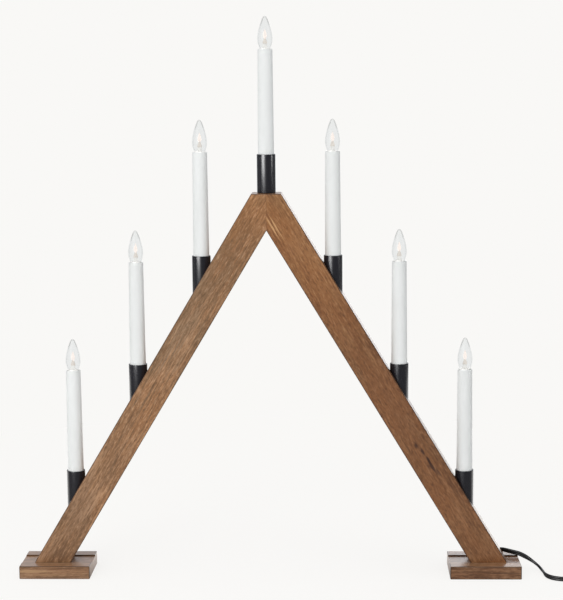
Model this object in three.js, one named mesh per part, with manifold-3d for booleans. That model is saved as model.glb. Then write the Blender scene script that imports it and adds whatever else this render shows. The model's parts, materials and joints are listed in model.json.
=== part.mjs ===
// LED candelabra: an upturned V of two wooden beams on two wooden feet, with seven electric candles.
// Millimetres. +X is to the right, +Y to the back and +Z up. The origin is on the floor under the apex.

import * as THREE from 'three';
import { mergeVertices } from 'three/addons/utils/BufferGeometryUtils.js';
import Module from 'manifold-3d';

const wasm = await Module();
wasm.setup();

// Clearances
const SEAT_GAP = 0.3; // between a piece and its seat
const LOOSE_GAP = 0.4; // round a screw in the foot
const CUT_MARGIN = 5; // how far a cutter runs past the face that it opens

// Beams
const LEAN = THREE.MathUtils.degToRad(31); // from upright
const BEAM_WIDTH = 33; // across the beam, seen from the front
const BEAM_DEPTH = 28; // front to back
const APEX_HEIGHT = 407; // of the flat that the top cup stands on
const APEX_FLAT = 31; // width of that flat
const SPLINE_WIDTH = 18;
const SPLINE_HEIGHT = 24;
const SPLINE_THICKNESS = 5;
const SPLINE_LIFT = 6; // its lower edge above the inner corner of the V
const SPLINE_FRONT = 8; // its middle in front of the beams' middle plane

// Feet
const FOOT_WIDTH = 75;
const FOOT_DEPTH = 58;
const FOOT_HEIGHT = 14;
const FOOT_INSET = 4.6; // the foot's middle lies this much nearer the centre than the beam's end
const GROOVE_DEPTH = 1.3; // the shallow groove along the foot's top that holds the beam

// Wiring channel in the beams' rear faces
const CHANNEL_INSET = 20; // from the beam's upper face to the channel's middle
const CHANNEL_WIDTH = 8;
const CHANNEL_SKIN = 3; // wood left between the channel and the apex flat
const COVER_LIP = 1.3; // the cover's bearing on each side of the channel
const COVER_THICKNESS = 2.1;
const WIRE = 2.4;
const BORE = 5.5; // from a candle's seat down to the channel

// Foot screws
const SCREW_LENGTH = 30;
const SCREW_SHANK = 3.4;
const SCREW_HEAD = 7;
const SCREW_HEAD_HEIGHT = 2.4;
const SCREW_TIP = 4;
const SCREW_SUNK = 0.8; // the head's face above the floor
const SCREW_SPACING = 12;
const SCREW_SHIFT = 7; // the pair's middle, nearer the centre than the beam's end
const SCREW_FRONT = 8; // the pair, in front of the beam's middle plane

// Bulbs
const CAP_DIAMETER = 9.4; // E10 screw cap
const CAP_LENGTH = 9;
const CONTACT_LENGTH = 2;
const CONTACT_DIAMETER = 3;
const COLLAR_DIAMETER = 11.6;
const COLLAR_HEIGHT = 3.5;
const STEM_DIAMETER = 5;
const STEM_HEIGHT = 3;
const LED_DIAMETER = 1.8;
const LED_HEIGHT = 15.5; // the light's tip above the collar
const GLASS_DIAMETER = 15.6;
const GLASS_HEIGHT = 32.4;
const GLASS_MOUTH = 11.8;
const GLASS_WALL = 0.7;

// Candles, nested outwards from the bulb's cap
const HOLDER_WALL = 1.15;
const HOLDER_HEIGHT = 18;
const HOLDER_FLOOR = 2;
const HOLDER_DROP = 3; // its rim below the sleeve's top
const SLEEVE_WALL = 1.2;
const SLEEVE_SHOWING = 108; // above the cup's rim
const SLEEVE_FLARE = 1.5; // wider at the cup than at the top
const LEDGE_THICKNESS = 1.2;
const LEDGE_BORE = 8;
const EASED_EDGE = 0.4;
const CUP_WALL = 1.05;
const CUP_LENGTH = 40;
const CUP_FLOOR = 2;
const SPIGOT_LENGTH = 8;
const SPIGOT_WALL = 1.2;
const CANDLES_PER_BEAM = 3;
const LOWEST_FACE = 88.3; // height of the beam's upper face at the lowest candle

// Cord outlet behind the right beam, just above the foot
const OUTLET_WIDTH = 12;
const OUTLET_HEIGHT = 14;
const OUTLET_LIFT = 1.2; // above the foot's top
const OUTLET_LET_IN = 8;
const OUTLET_PROUD = 8.7;
const NOZZLE_LENGTH = 20;
const NOZZLE_BASE = 8;
const NOZZLE_TIP = 6.6;

// Flat twin cord, standing on its narrow side
const CORD_WIDTH = 5;
const CORD_THICKNESS = 2.7;
const CORD_FLAT = 2.8; // the straight part of its wide sides
const CORD_TOP = 1.4; // the straight part of its narrow sides
const CORD_TILT = THREE.MathUtils.degToRad(50); // how far it lies over at the outlet
const CORD_UPRIGHT_AT = 0.4; // the share of the free run by which it stands upright
const RUN_STEPS = 28;
const FLOOR_GAP = 0.3;

// Coil of the cord that is put away, with its tie
const COIL_TURNS = 9;
const COIL_X = 358;
const COIL_Y = 0;
const COIL_INNER = 22;
const COIL_GAP = 0.6;
const COIL_STEPS = 24; // to a turn
const COIL_TURN_IN = 2.2; // how much closer to the centre the cord turns where it changes layer
const COIL_TAIL = 38;
const TAIL_HIGH = 16; // the part of the tail that stays level until it is clear of the floor layer
const GAP_STEPS = 240; // to a turn, where the coil's least gap to itself is measured
const TIE_WIDTH = 8;
const TIE_THICKNESS = 0.7;
const TIE_SLACK = 1; // inside the coil

// Plug with two round pins
const PLUG_LENGTH = 32;
const PLUG_WIDTH = 35;
const PLUG_THICKNESS = 13.7;
const PLUG_BACK = 15; // width at the cord's end
const PLUG_SHOULDER = 12; // length of the full-width part
const PLUG_EDGE = 1.5;
const NOSE_LENGTH = 20;
const NOSE_BASE = 11;
const NOSE_TIP = 7.6;
const PIN_DIAMETER = 4;
const PIN_LENGTH = 19;
const PIN_HELD = 8;
const PIN_SPACING = 18.6;
const PIN_TIP = 1.2;

// Sides of round pieces
const ROUND = 16;
const SEAT_ROUND = 24;
const GLASS_ROUND = 16;
const SMALL_ROUND = 12;
const WIRE_ROUND = 8;

// Worked out from the sizes above
const SIN = Math.sin(LEAN);
const COS = Math.cos(LEAN);
const TAN = Math.tan(LEAN);
const HALF_DEPTH = BEAM_DEPTH / 2;
const RIDGE = APEX_HEIGHT + APEX_FLAT / 2 / TAN; // where the beams' upper faces would meet
const INNER_CORNER = RIDGE - BEAM_WIDTH / SIN;
const BEAM_FOOT = FOOT_HEIGHT - GROOVE_DEPTH + SEAT_GAP;
const BEAM_END = slantX(BEAM_WIDTH / 2, BEAM_FOOT);
const FOOT_CENTRE = BEAM_END - FOOT_INSET;
const HOLDER_BORE = CAP_DIAMETER + 2 * SEAT_GAP;
const HOLDER_DIAMETER = HOLDER_BORE + 2 * HOLDER_WALL;
const SLEEVE_BORE = HOLDER_DIAMETER + 2 * SEAT_GAP;
const SLEEVE_TOP = SLEEVE_BORE + 2 * SLEEVE_WALL;
const SLEEVE_FOOT = SLEEVE_TOP + SLEEVE_FLARE;
const CUP_BORE = SLEEVE_FOOT + 2 * SEAT_GAP;
const CUP_DIAMETER = CUP_BORE + 2 * CUP_WALL;
const SPIGOT_DIAMETER = BORE + 2 * SPIGOT_WALL;
const CUP_RISE = CUP_LENGTH - CUP_DIAMETER / 2 / TAN; // so that its low side just meets the slope
const TOP_RIM = APEX_HEIGHT + SEAT_GAP + CUP_LENGTH;
const COLLAR_FOOT = SEAT_GAP - HOLDER_DROP;
const COLLAR_TOP = COLLAR_FOOT + COLLAR_HEIGHT;
const CAP_FOOT = COLLAR_FOOT - CAP_LENGTH;
const CONTACT_FOOT = CAP_FOOT - CONTACT_LENGTH;
const SOCKET_FLOOR = CONTACT_FOOT - SEAT_GAP;
const HOLDER_FOOT = -HOLDER_DROP - HOLDER_HEIGHT;
const WIRE_TOP = SOCKET_FLOOR - HOLDER_FLOOR - SEAT_GAP;
const WIRE_DROP = CHANNEL_INSET / SIN; // from the beam's upper face straight down to the wire
const WIRE_FOOT = LOWEST_FACE - WIRE_DROP - WIRE;
const CHANNEL_FLOOR = -WIRE / 2 - SEAT_GAP; // the channel's bottom, towards the front
const CHANNEL_TOP = APEX_HEIGHT - CHANNEL_SKIN;
const OUTLET_FOOT = FOOT_HEIGHT + OUTLET_LIFT;
const OUTLET_TOP = OUTLET_FOOT + OUTLET_HEIGHT;
const OUTLET_LOW = slantX(CHANNEL_INSET + CHANNEL_WIDTH / 2, OUTLET_TOP) - SEAT_GAP; // closes the channel
const OUTLET_BACK = HALF_DEPTH + OUTLET_PROUD;
const NOZZLE_START = OUTLET_LOW + OUTLET_WIDTH;
const NOZZLE_END = NOZZLE_START + NOZZLE_LENGTH;
const NOZZLE_Y = OUTLET_BACK - SEAT_GAP - NOZZLE_BASE / 2;
const NOZZLE_Z = OUTLET_FOOT + NOZZLE_BASE / 2;
const COIL_PITCH = CORD_THICKNESS + COIL_GAP;
const SPIRAL_TURNS = (COIL_TURNS - 0.5) / 2; // in one layer
const COIL_OUTER = COIL_INNER + COIL_PITCH * SPIRAL_TURNS;
const COIL_LOW = FLOOR_GAP + TIE_THICKNESS + SEAT_GAP + CORD_WIDTH / 2;
const COIL_HIGH = COIL_LOW + CORD_WIDTH + COIL_GAP;
const COIL_START = COIL_X - CORD_WIDTH;
const CORD_LINE = COIL_Y - COIL_OUTER; // where the cord runs into the coil and out to the plug
const ON_FLOOR = FLOOR_GAP + CORD_WIDTH / 2;
const PLUG_Z = FLOOR_GAP + PLUG_THICKNESS / 2;
const NOSE_START = COIL_X + COIL_TAIL + SEAT_GAP;
const PLUG_START = NOSE_START + NOSE_LENGTH;
const PLUG_END = PLUG_START + PLUG_LENGTH;

// The cord's free run: out of the outlet, over the foot's edge, along the floor and into the coil
const RUN_POINTS = [
  [NOZZLE_END + SEAT_GAP, NOZZLE_Y, NOZZLE_Z],
  [249.4, 18.4, 19.1],
  [253, 17.8, 18.5],
  [256.5, 16.7, 17.9],
  [260, 15.2, 17.4],
  [263.5, 13.3, 17],
  [267.5, 11.8, 16.2],
  [271.4, 10.8, 14.6],
  [275.5, 9.9, 12.5],
  [279.5, 8.4, 10.2],
  [283.2, 5.8, 8],
  [286.8, 2, 5.6],
  [289.4, -4, 3.5],
  [290.7, -11, ON_FLOOR],
  [291.3, -18, ON_FLOOR],
  [293.6, -25.5, ON_FLOOR],
  [298.8, -31.6, ON_FLOOR],
  [306, -35, ON_FLOOR],
  [314.5, CORD_LINE, ON_FLOOR],
  [325, CORD_LINE, 3.1],
  [336, CORD_LINE, 3.6],
  [346, CORD_LINE, COIL_LOW],
  [COIL_START - SEAT_GAP, CORD_LINE, COIL_LOW],
].map((point) => new THREE.Vector3(...point));

// Where a line that runs at a set distance under a beam's upper face is at a height
function slantX(inset, height) {
  return (RIDGE - height) * TAN - inset / COS;
}

// A closed geometry as a solid for joining and cutting
function solidOf(geometry) {
  const bare = geometry.clone();
  bare.deleteAttribute('normal');
  bare.deleteAttribute('uv');
  const merged = mergeVertices(bare, 1e-4);
  const corners = merged.index.array;
  const kept = [];
  for (let i = 0; i < corners.length; i += 3) {
    const [a, b, c] = corners.slice(i, i + 3);
    const flat = a === b || b === c || c === a;
    if (!flat) kept.push(a, b, c);
  }
  return new wasm.Manifold(new wasm.Mesh({
    numProp: 3,
    vertProperties: new Float32Array(merged.attributes.position.array),
    triVerts: new Uint32Array(kept),
  }));
}

function geometryOf(solid) {
  const mesh = solid.getMesh();
  const geometry = new THREE.BufferGeometry();
  geometry.setAttribute('position', new THREE.BufferAttribute(mesh.vertProperties, 3));
  geometry.setIndex(new THREE.BufferAttribute(mesh.triVerts, 1));
  geometry.computeVertexNormals();
  return geometry;
}

function cut(solid, ...geometries) {
  return geometries.reduce((left, geometry) => left.subtract(solidOf(geometry)), solid);
}

// A box from its low corner to its high corner
function block(low, high) {
  const size = high.map((value, axis) => value - low[axis]);
  const middle = high.map((value, axis) => (value + low[axis]) / 2);
  return new THREE.BoxGeometry(...size).translate(...middle);
}

// An upright turned piece, from its profile of radius and height
function turned(profile, sides) {
  const points = profile.map(([radius, height]) => new THREE.Vector2(radius, height));
  return new THREE.LatheGeometry(points, sides).rotateX(Math.PI / 2);
}

function uprightRod(diameter, low, high, sides) {
  const geometry = new THREE.CylinderGeometry(diameter / 2, diameter / 2, high - low, sides);
  return geometry.rotateX(Math.PI / 2).translate(0, 0, (high + low) / 2);
}

// A cutter for an upright round hole, whose flat sides are at the hole's radius
function uprightHole(diameter, low, high, sides = SMALL_ROUND) {
  return uprightRod(diameter / Math.cos(Math.PI / sides), low, high, sides);
}

// A bar that follows a beam, between two distances under its upper face, two heights and two depths
function slantedBar(side, [near, far], [low, high], [front, rear], fromMiddle = SEAT_GAP / 2) {
  const outline = new THREE.Shape([
    new THREE.Vector2(side * slantX(near, low), low),
    new THREE.Vector2(side * slantX(near, RIDGE), RIDGE),
    new THREE.Vector2(side * slantX(far, RIDGE), RIDGE),
    new THREE.Vector2(side * slantX(far, low), low),
  ]);
  const bar = new THREE.ExtrudeGeometry(outline, { depth: rear - front, bevelEnabled: false });
  bar.rotateX(Math.PI / 2).translate(0, rear, 0);
  const reach = slantX(near, low) + CUT_MARGIN;
  const [left, right] = side > 0 ? [fromMiddle, reach] : [-reach, -fromMiddle];
  const room = block([left, front - CUT_MARGIN, low - CUT_MARGIN], [right, rear + CUT_MARGIN, high]);
  return solidOf(bar).intersect(solidOf(room));
}

// The candles along one beam, from the lowest up
function beamCandles() {
  const levels = ['lower', 'middle', 'upper'];
  const pitch = (RIDGE - LOWEST_FACE) * TAN / CANDLES_PER_BEAM;
  return Array.from({ length: CANDLES_PER_BEAM }, (_, i) => {
    const x = (CANDLES_PER_BEAM - i) * pitch;
    return { level: levels[i] ?? `level_${i + 1}`, x, rim: RIDGE - x / TAN + CUP_RISE };
  });
}

// From the channel's lower end, which meets the cord's outlet on the right, to under the apex
function channelHeights(side) {
  return [side > 0 ? OUTLET_TOP : WIRE_FOOT - SEAT_GAP, CHANNEL_TOP];
}

function coverHeights(side) {
  const foot = side > 0 ? OUTLET_TOP + 2 * SEAT_GAP : WIRE_FOOT - SEAT_GAP - COVER_LIP;
  return [foot, CHANNEL_TOP - SEAT_GAP];
}

function across(halfWidth) {
  return [CHANNEL_INSET - halfWidth, CHANNEL_INSET + halfWidth];
}

// Cutters for one candle: the cup's flat seat, its spigot's hole and the bore down to the wire
function candleHoles(x, seat, wire) {
  return [
    uprightHole(CUP_DIAMETER + 2 * SEAT_GAP, seat, seat + CUP_LENGTH, SEAT_ROUND),
    uprightHole(SPIGOT_DIAMETER + 2 * SEAT_GAP, seat - SPIGOT_LENGTH - SEAT_GAP, seat + CUT_MARGIN),
    uprightHole(BORE, wire, seat),
  ].map((geometry) => geometry.translate(x, 0, 0));
}

function screwPlaces() {
  const middle = BEAM_END - SCREW_SHIFT;
  return [middle - SCREW_SPACING / 2, middle + SCREW_SPACING / 2];
}

// The loose tenon across the mitre, or with a gap round it the mortise that holds it
function splineBlock(gap) {
  const [x, y] = [SPLINE_WIDTH / 2 + gap, SPLINE_THICKNESS / 2 + gap];
  const low = INNER_CORNER + SPLINE_LIFT - gap;
  const high = low + SPLINE_HEIGHT + 2 * gap;
  return block([-x, -SPLINE_FRONT - y, low], [x, -SPLINE_FRONT + y, high]);
}

// The outlet's block, or with a gap round it the pocket that holds it
function outletBlock(gap) {
  return block(
    [OUTLET_LOW - gap, HALF_DEPTH - OUTLET_LET_IN - gap, OUTLET_FOOT - gap],
    [NOZZLE_START + gap, OUTLET_BACK + gap, OUTLET_TOP + gap],
  );
}

function makeBeam(side) {
  const past = HALF_DEPTH + CUT_MARGIN;
  const rebateFloor = HALF_DEPTH - COVER_THICKNESS - SEAT_GAP;
  const rebateHalf = CHANNEL_WIDTH / 2 + COVER_LIP + SEAT_GAP;
  const [coverFoot] = coverHeights(side);
  const channel = across(CHANNEL_WIDTH / 2);
  const rebate = across(rebateHalf);
  const rebateHeights = [coverFoot - SEAT_GAP, CHANNEL_TOP];
  let beam = slantedBar(side, [0, BEAM_WIDTH], [BEAM_FOOT, APEX_HEIGHT], [-HALF_DEPTH, HALF_DEPTH]);
  beam = beam.subtract(slantedBar(side, channel, channelHeights(side), [CHANNEL_FLOOR, past], 0));
  beam = beam.subtract(slantedBar(side, rebate, rebateHeights, [rebateFloor, past], 0));
  for (const { x, rim } of beamCandles()) {
    const seat = rim - CUP_LENGTH - SEAT_GAP;
    beam = cut(beam, ...candleHoles(side * x, seat, rim - CUP_RISE - WIRE_DROP));
  }
  beam = cut(beam, ...candleHoles(0, APEX_HEIGHT, RIDGE - WIRE_DROP - WIRE));
  beam = cut(beam, splineBlock(SEAT_GAP));
  const pilotTop = SCREW_SUNK + SCREW_LENGTH + SEAT_GAP;
  for (const x of screwPlaces()) {
    const pilot = uprightHole(SCREW_SHANK + 2 * SEAT_GAP, BEAM_FOOT - CUT_MARGIN, pilotTop);
    beam = cut(beam, pilot.translate(side * x, -SCREW_FRONT, 0));
  }
  return geometryOf(side > 0 ? cut(beam, outletBlock(SEAT_GAP)) : beam);
}

function makeFoot(side) {
  const [halfWidth, halfDepth] = [FOOT_WIDTH / 2, FOOT_DEPTH / 2];
  const grooveHalf = HALF_DEPTH + SEAT_GAP;
  const grooveReach = halfWidth + CUT_MARGIN;
  const past = FOOT_HEIGHT + CUT_MARGIN;
  const headRadius = SCREW_HEAD / 2 + LOOSE_GAP;
  const shankRadius = SCREW_SHANK / 2 + LOOSE_GAP;
  const countersink = turned([
    [0, -CUT_MARGIN],
    [headRadius, -CUT_MARGIN],
    [headRadius, SCREW_SUNK],
    [shankRadius, SCREW_SUNK + SCREW_HEAD_HEIGHT],
    [shankRadius, past],
    [0, past],
  ], SMALL_ROUND);
  const groove = block(
    [-grooveReach, -grooveHalf, FOOT_HEIGHT - GROOVE_DEPTH],
    [grooveReach, grooveHalf, past],
  );
  const foot = solidOf(block([-halfWidth, -halfDepth, 0], [halfWidth, halfDepth, FOOT_HEIGHT]));
  const holes = screwPlaces().map((x) => (
    countersink.clone().translate(side * (x - FOOT_CENTRE), -SCREW_FRONT, 0)
  ));
  return geometryOf(cut(foot, groove, ...holes));
}

function makeScrew() {
  const shank = SCREW_SHANK / 2;
  return turned([
    [0, 0],
    [SCREW_HEAD / 2, 0],
    [shank, SCREW_HEAD_HEIGHT],
    [shank, SCREW_LENGTH - SCREW_TIP],
    [0, SCREW_LENGTH],
  ], SMALL_ROUND);
}

function makeCover(side) {
  const depths = [HALF_DEPTH - COVER_THICKNESS, HALF_DEPTH];
  return geometryOf(slantedBar(side, across(CHANNEL_WIDTH / 2 + COVER_LIP), coverHeights(side), depths));
}

// The wire along the channel, with a riser through each candle up to its lampholder.
// The right one also feeds the top candle and runs down to the cord's outlet.
function makeWiring(side) {
  const low = side > 0 ? OUTLET_TOP + SEAT_GAP : WIRE_FOOT;
  const fromMiddle = side > 0 ? 0 : WIRE / 2 + SEAT_GAP;
  const depths = [-WIRE / 2, WIRE / 2];
  const risers = beamCandles().map(({ x, rim }) => [side * x, rim - CUP_RISE, rim]);
  if (side > 0) risers.push([0, RIDGE, TOP_RIM]);
  let wiring = slantedBar(side, across(WIRE / 2), [low, CHANNEL_TOP], depths, fromMiddle);
  for (const [x, face, rim] of risers) {
    const riser = uprightRod(WIRE, face - WIRE_DROP, rim + SLEEVE_SHOWING + WIRE_TOP, WIRE_ROUND);
    wiring = wiring.add(solidOf(riser.translate(x, 0, 0)));
  }
  return geometryOf(wiring);
}

// Heights in the cup count from its underside
function makeCup() {
  const [outer, bore] = [CUP_DIAMETER / 2, CUP_BORE / 2];
  const [spigot, wireHole] = [SPIGOT_DIAMETER / 2, BORE / 2];
  return turned([
    [wireHole, -SPIGOT_LENGTH],
    [spigot, -SPIGOT_LENGTH],
    [spigot, 0],
    [outer - EASED_EDGE, 0],
    [outer, EASED_EDGE],
    [outer, CUP_LENGTH - EASED_EDGE],
    [outer - EASED_EDGE, CUP_LENGTH],
    [bore, CUP_LENGTH],
    [bore, CUP_FLOOR],
    [wireHole, CUP_FLOOR],
    [wireHole, -SPIGOT_LENGTH],
  ], ROUND);
}

// Heights in the sleeve, the lampholder and the bulb count from the sleeve's top
function makeSleeve() {
  const [top, bore, foot] = [SLEEVE_TOP / 2, SLEEVE_BORE / 2, SLEEVE_FOOT / 2];
  const low = CUP_FLOOR + SEAT_GAP - CUP_LENGTH - SLEEVE_SHOWING;
  const ledge = HOLDER_FOOT - SEAT_GAP;
  return turned([
    [foot - SLEEVE_WALL, low],
    [foot, low],
    [foot, -SLEEVE_SHOWING],
    [top, -EASED_EDGE],
    [top - EASED_EDGE, 0],
    [bore, 0],
    [bore, ledge],
    [LEDGE_BORE / 2, ledge],
    [LEDGE_BORE / 2, ledge - LEDGE_THICKNESS],
    [bore, ledge - LEDGE_THICKNESS],
    [foot - SLEEVE_WALL, -SLEEVE_SHOWING],
    [foot - SLEEVE_WALL, low],
  ], ROUND);
}

function makeLampholder() {
  const [outer, bore] = [HOLDER_DIAMETER / 2, HOLDER_BORE / 2];
  const underFloor = SOCKET_FLOOR - HOLDER_FLOOR;
  return turned([
    [0, underFloor],
    [bore, underFloor],
    [bore, HOLDER_FOOT],
    [outer, HOLDER_FOOT],
    [outer, -HOLDER_DROP],
    [bore, -HOLDER_DROP],
    [bore, SOCKET_FLOOR],
    [0, SOCKET_FLOOR],
  ], SMALL_ROUND);
}

function makeBulbBase() {
  const [cap, contact, collar] = [CAP_DIAMETER / 2, CONTACT_DIAMETER / 2, COLLAR_DIAMETER / 2];
  const [stem, led] = [STEM_DIAMETER / 2, LED_DIAMETER / 2];
  return turned([
    [0, CONTACT_FOOT],
    [contact, CONTACT_FOOT],
    [cap, CAP_FOOT],
    [cap, COLLAR_FOOT],
    [collar, COLLAR_FOOT],
    [collar, COLLAR_TOP],
    [stem, COLLAR_TOP],
    [stem, COLLAR_TOP + STEM_HEIGHT],
    [led, COLLAR_TOP + LED_HEIGHT / 2],
    [led, COLLAR_TOP + LED_HEIGHT],
    [0, COLLAR_TOP + LED_HEIGHT],
  ], SMALL_ROUND);
}

// The flame-shaped glass, open at its mouth: shares of its half width and of its height
function makeBulbGlass() {
  const flame = [[0.88, 0.08], [1, 0.25], [0.89, 0.5], [0.58, 0.75], [0.23, 0.96]];
  const half = GLASS_DIAMETER / 2;
  const mouth = COLLAR_TOP + SEAT_GAP;
  const outside = flame.map(([width, share]) => [half * width, mouth + GLASS_HEIGHT * share]);
  const inside = outside.slice(0, -1).map(([radius, height]) => [radius - GLASS_WALL, height]);
  const rim = [GLASS_MOUTH / 2 - GLASS_WALL, mouth];
  return turned([
    rim,
    [GLASS_MOUTH / 2, mouth],
    ...outside,
    [0, mouth + GLASS_HEIGHT],
    [0, mouth + GLASS_HEIGHT * flame.at(-1)[1] - GLASS_WALL],
    ...inside.reverse(),
    rim,
  ], GLASS_ROUND);
}

// A cone that lies along +X
function lyingCone(base, tip, length) {
  const upright = turned([[0, 0], [base / 2, 0], [tip / 2, length], [0, length]], SMALL_ROUND);
  return upright.rotateY(Math.PI / 2);
}

function makeOutlet() {
  const nozzle = lyingCone(NOZZLE_BASE, NOZZLE_TIP, NOZZLE_LENGTH + SEAT_GAP);
  nozzle.translate(NOZZLE_START - SEAT_GAP, NOZZLE_Y, NOZZLE_Z);
  return geometryOf(solidOf(outletBlock(0)).add(solidOf(nozzle)));
}

// The cord's sideways and upward directions at a point of its route, tilted about the route
function cordAxes(along, tilt) {
  const sideways = new THREE.Vector3(0, 0, 1).cross(along).normalize();
  sideways.applyAxisAngle(along, tilt);
  return { sideways, upward: new THREE.Vector3().crossVectors(along, sideways) };
}

// The free run's curve. It turns the flat cord upright on the way, where a plain curve would twist it.
class FlatCordRoute extends THREE.CatmullRomCurve3 {
  computeFrenetFrames(steps) {
    const frames = { tangents: [], normals: [], binormals: [] };
    for (let i = 0; i <= steps; i += 1) {
      const along = this.getTangentAt(i / steps);
      const lying = 1 - THREE.MathUtils.smoothstep(i / steps, 0, CORD_UPRIGHT_AT);
      const { sideways, upward } = cordAxes(along, CORD_TILT * lying);
      frames.tangents.push(along);
      frames.normals.push(sideways);
      frames.binormals.push(upward);
    }
    return frames;
  }
}

function makeCordRun() {
  const [side, edge] = [CORD_THICKNESS / 2, CORD_WIDTH / 2];
  const upper = [
    [side, CORD_FLAT / 2],
    [CORD_TOP / 2, edge],
    [-CORD_TOP / 2, edge],
    [-side, CORD_FLAT / 2],
  ];
  const lower = upper.map(([x, y]) => [-x, -y]);
  const section = new THREE.Shape([...upper, ...lower].map(([x, y]) => new THREE.Vector2(x, y)));
  const route = new FlatCordRoute(RUN_POINTS);
  console.log(`cord's free run ${route.getLength().toFixed(0)} mm`);
  return new THREE.ExtrudeGeometry(section, { steps: RUN_STEPS, extrudePath: route });
}

// A point of the wound part. The cord spirals in along the floor layer, climbs in the half turn
// where it reverses, and spirals out again in the upper layer.
function coilPoint(turn) {
  const reversed = SPIRAL_TURNS + 0.5;
  const climb = THREE.MathUtils.smoothstep(turn, SPIRAL_TURNS, reversed);
  const inward = Math.min(turn, SPIRAL_TURNS);
  const outward = Math.max(turn - reversed, 0);
  const turningIn = THREE.MathUtils.smoothstep(turn, SPIRAL_TURNS - 0.5, SPIRAL_TURNS);
  const turningOut = THREE.MathUtils.smoothstep(turn, reversed, reversed + 0.5);
  const radius = COIL_OUTER - COIL_PITCH * (inward - outward) - COIL_TURN_IN * (turningIn - turningOut);
  const angle = 2 * Math.PI * (turn - 0.25);
  return new THREE.Vector3(
    COIL_X + radius * Math.cos(angle),
    COIL_Y + radius * Math.sin(angle),
    THREE.MathUtils.lerp(COIL_LOW, COIL_HIGH, climb),
  );
}

// The coil's middle line, with the straight lead into it and the tail down to the plug's nose
function coilLine(steps) {
  const points = [new THREE.Vector3(COIL_START, CORD_LINE, COIL_LOW)];
  for (let i = 0; i <= COIL_TURNS * steps; i += 1) points.push(coilPoint(i / steps));
  const spacing = CORD_WIDTH * COIL_STEPS / steps;
  const level = COIL_TAIL - CORD_WIDTH;
  for (let x = spacing; x < level; x += spacing) {
    const drop = THREE.MathUtils.smoothstep(x, TAIL_HIGH, level);
    points.push(new THREE.Vector3(COIL_X + x, CORD_LINE, THREE.MathUtils.lerp(COIL_HIGH, PLUG_Z, drop)));
  }
  points.push(new THREE.Vector3(COIL_X + level, CORD_LINE, PLUG_Z));
  points.push(new THREE.Vector3(COIL_X + COIL_TAIL, CORD_LINE, PLUG_Z));
  return points;
}

// A closed tube of the flat cord through a line of points
function flatTube(line, section) {
  const positions = [];
  const faces = [];
  const sides = section.length;
  line.forEach((point, i) => {
    const before = line[Math.max(i - 1, 0)];
    const after = line[Math.min(i + 1, line.length - 1)];
    const along = new THREE.Vector3().subVectors(after, before).normalize();
    const { sideways, upward } = cordAxes(along, 0);
    for (const [across, up] of section) {
      const corner = point.clone().addScaledVector(sideways, across).addScaledVector(upward, up);
      positions.push(...corner.toArray());
    }
  });
  for (let ring = 0; ring < line.length - 1; ring += 1) {
    for (let j = 0; j < sides; j += 1) {
      const [a, b] = [ring * sides + j, ring * sides + (j + 1) % sides];
      faces.push(a, b, b + sides, a, b + sides, a + sides);
    }
  }
  const last = (line.length - 1) * sides;
  for (let j = 1; j < sides - 1; j += 1) {
    faces.push(0, j + 1, j, last, last + j, last + j + 1);
  }
  const geometry = new THREE.BufferGeometry();
  geometry.setAttribute('position', new THREE.Float32BufferAttribute(positions, 3));
  geometry.setIndex(faces);
  geometry.computeVertexNormals();
  return geometry;
}

// The coil's least gap to itself, between points at least half a turn apart
function leastGap() {
  const points = coilLine(GAP_STEPS);
  const facet = Math.cos(Math.PI / COIL_STEPS);
  let least = Infinity;
  for (let i = 0; i < points.length; i += 1) {
    for (let j = i + GAP_STEPS / 2; j < points.length; j += 1) {
      const [a, b] = [points[i], points[j]];
      const beside = Math.hypot(a.x - b.x, a.y - b.y) * facet - CORD_THICKNESS;
      const above = Math.abs(a.z - b.z) - CORD_WIDTH;
      least = Math.min(least, Math.max(beside, above));
    }
  }
  return least;
}

function makeCoil() {
  const [side, edge] = [CORD_THICKNESS / 2, CORD_WIDTH / 2];
  const section = [
    [side, -CORD_FLAT / 2],
    [side, CORD_FLAT / 2],
    [0, edge],
    [-side, CORD_FLAT / 2],
    [-side, -CORD_FLAT / 2],
    [0, -edge],
  ];
  const line = coilLine(COIL_STEPS);
  const length = line.slice(1).reduce((sum, point, i) => sum + point.distanceTo(line[i]), 0);
  console.log(`coil ${length.toFixed(0)} mm, least gap to itself ${leastGap().toFixed(2)} mm`);
  return flatTube(line, section);
}

// A band round the coil's bundle, on the side away from the candelabra
function makeTie() {
  const half = TIE_WIDTH / 2;
  const nearest = COIL_X + COIL_INNER - COIL_TURN_IN - CORD_THICKNESS / 2 - TIE_SLACK;
  const farthest = COIL_X + COIL_OUTER + CORD_THICKNESS / 2 + SEAT_GAP;
  const low = COIL_LOW - CORD_WIDTH / 2 - SEAT_GAP;
  const high = COIL_HIGH + CORD_WIDTH / 2 + SEAT_GAP;
  const band = block(
    [nearest - TIE_THICKNESS, COIL_Y - half, low - TIE_THICKNESS],
    [farthest + TIE_THICKNESS, COIL_Y + half, high + TIE_THICKNESS],
  );
  const past = half + CUT_MARGIN;
  const opening = block([nearest, COIL_Y - past, low], [farthest, COIL_Y + past, high]);
  return geometryOf(cut(solidOf(band), opening));
}

function lyingPin(gap) {
  const [radius, length] = [PIN_DIAMETER / 2 + gap, PIN_HELD + PIN_LENGTH];
  return turned([
    [0, -gap],
    [radius, -gap],
    [radius, length - PIN_TIP],
    [radius - PIN_TIP, length],
    [0, length],
  ], SMALL_ROUND).rotateY(Math.PI / 2).translate(PLUG_END - PIN_HELD, 0, PLUG_Z);
}

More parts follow.
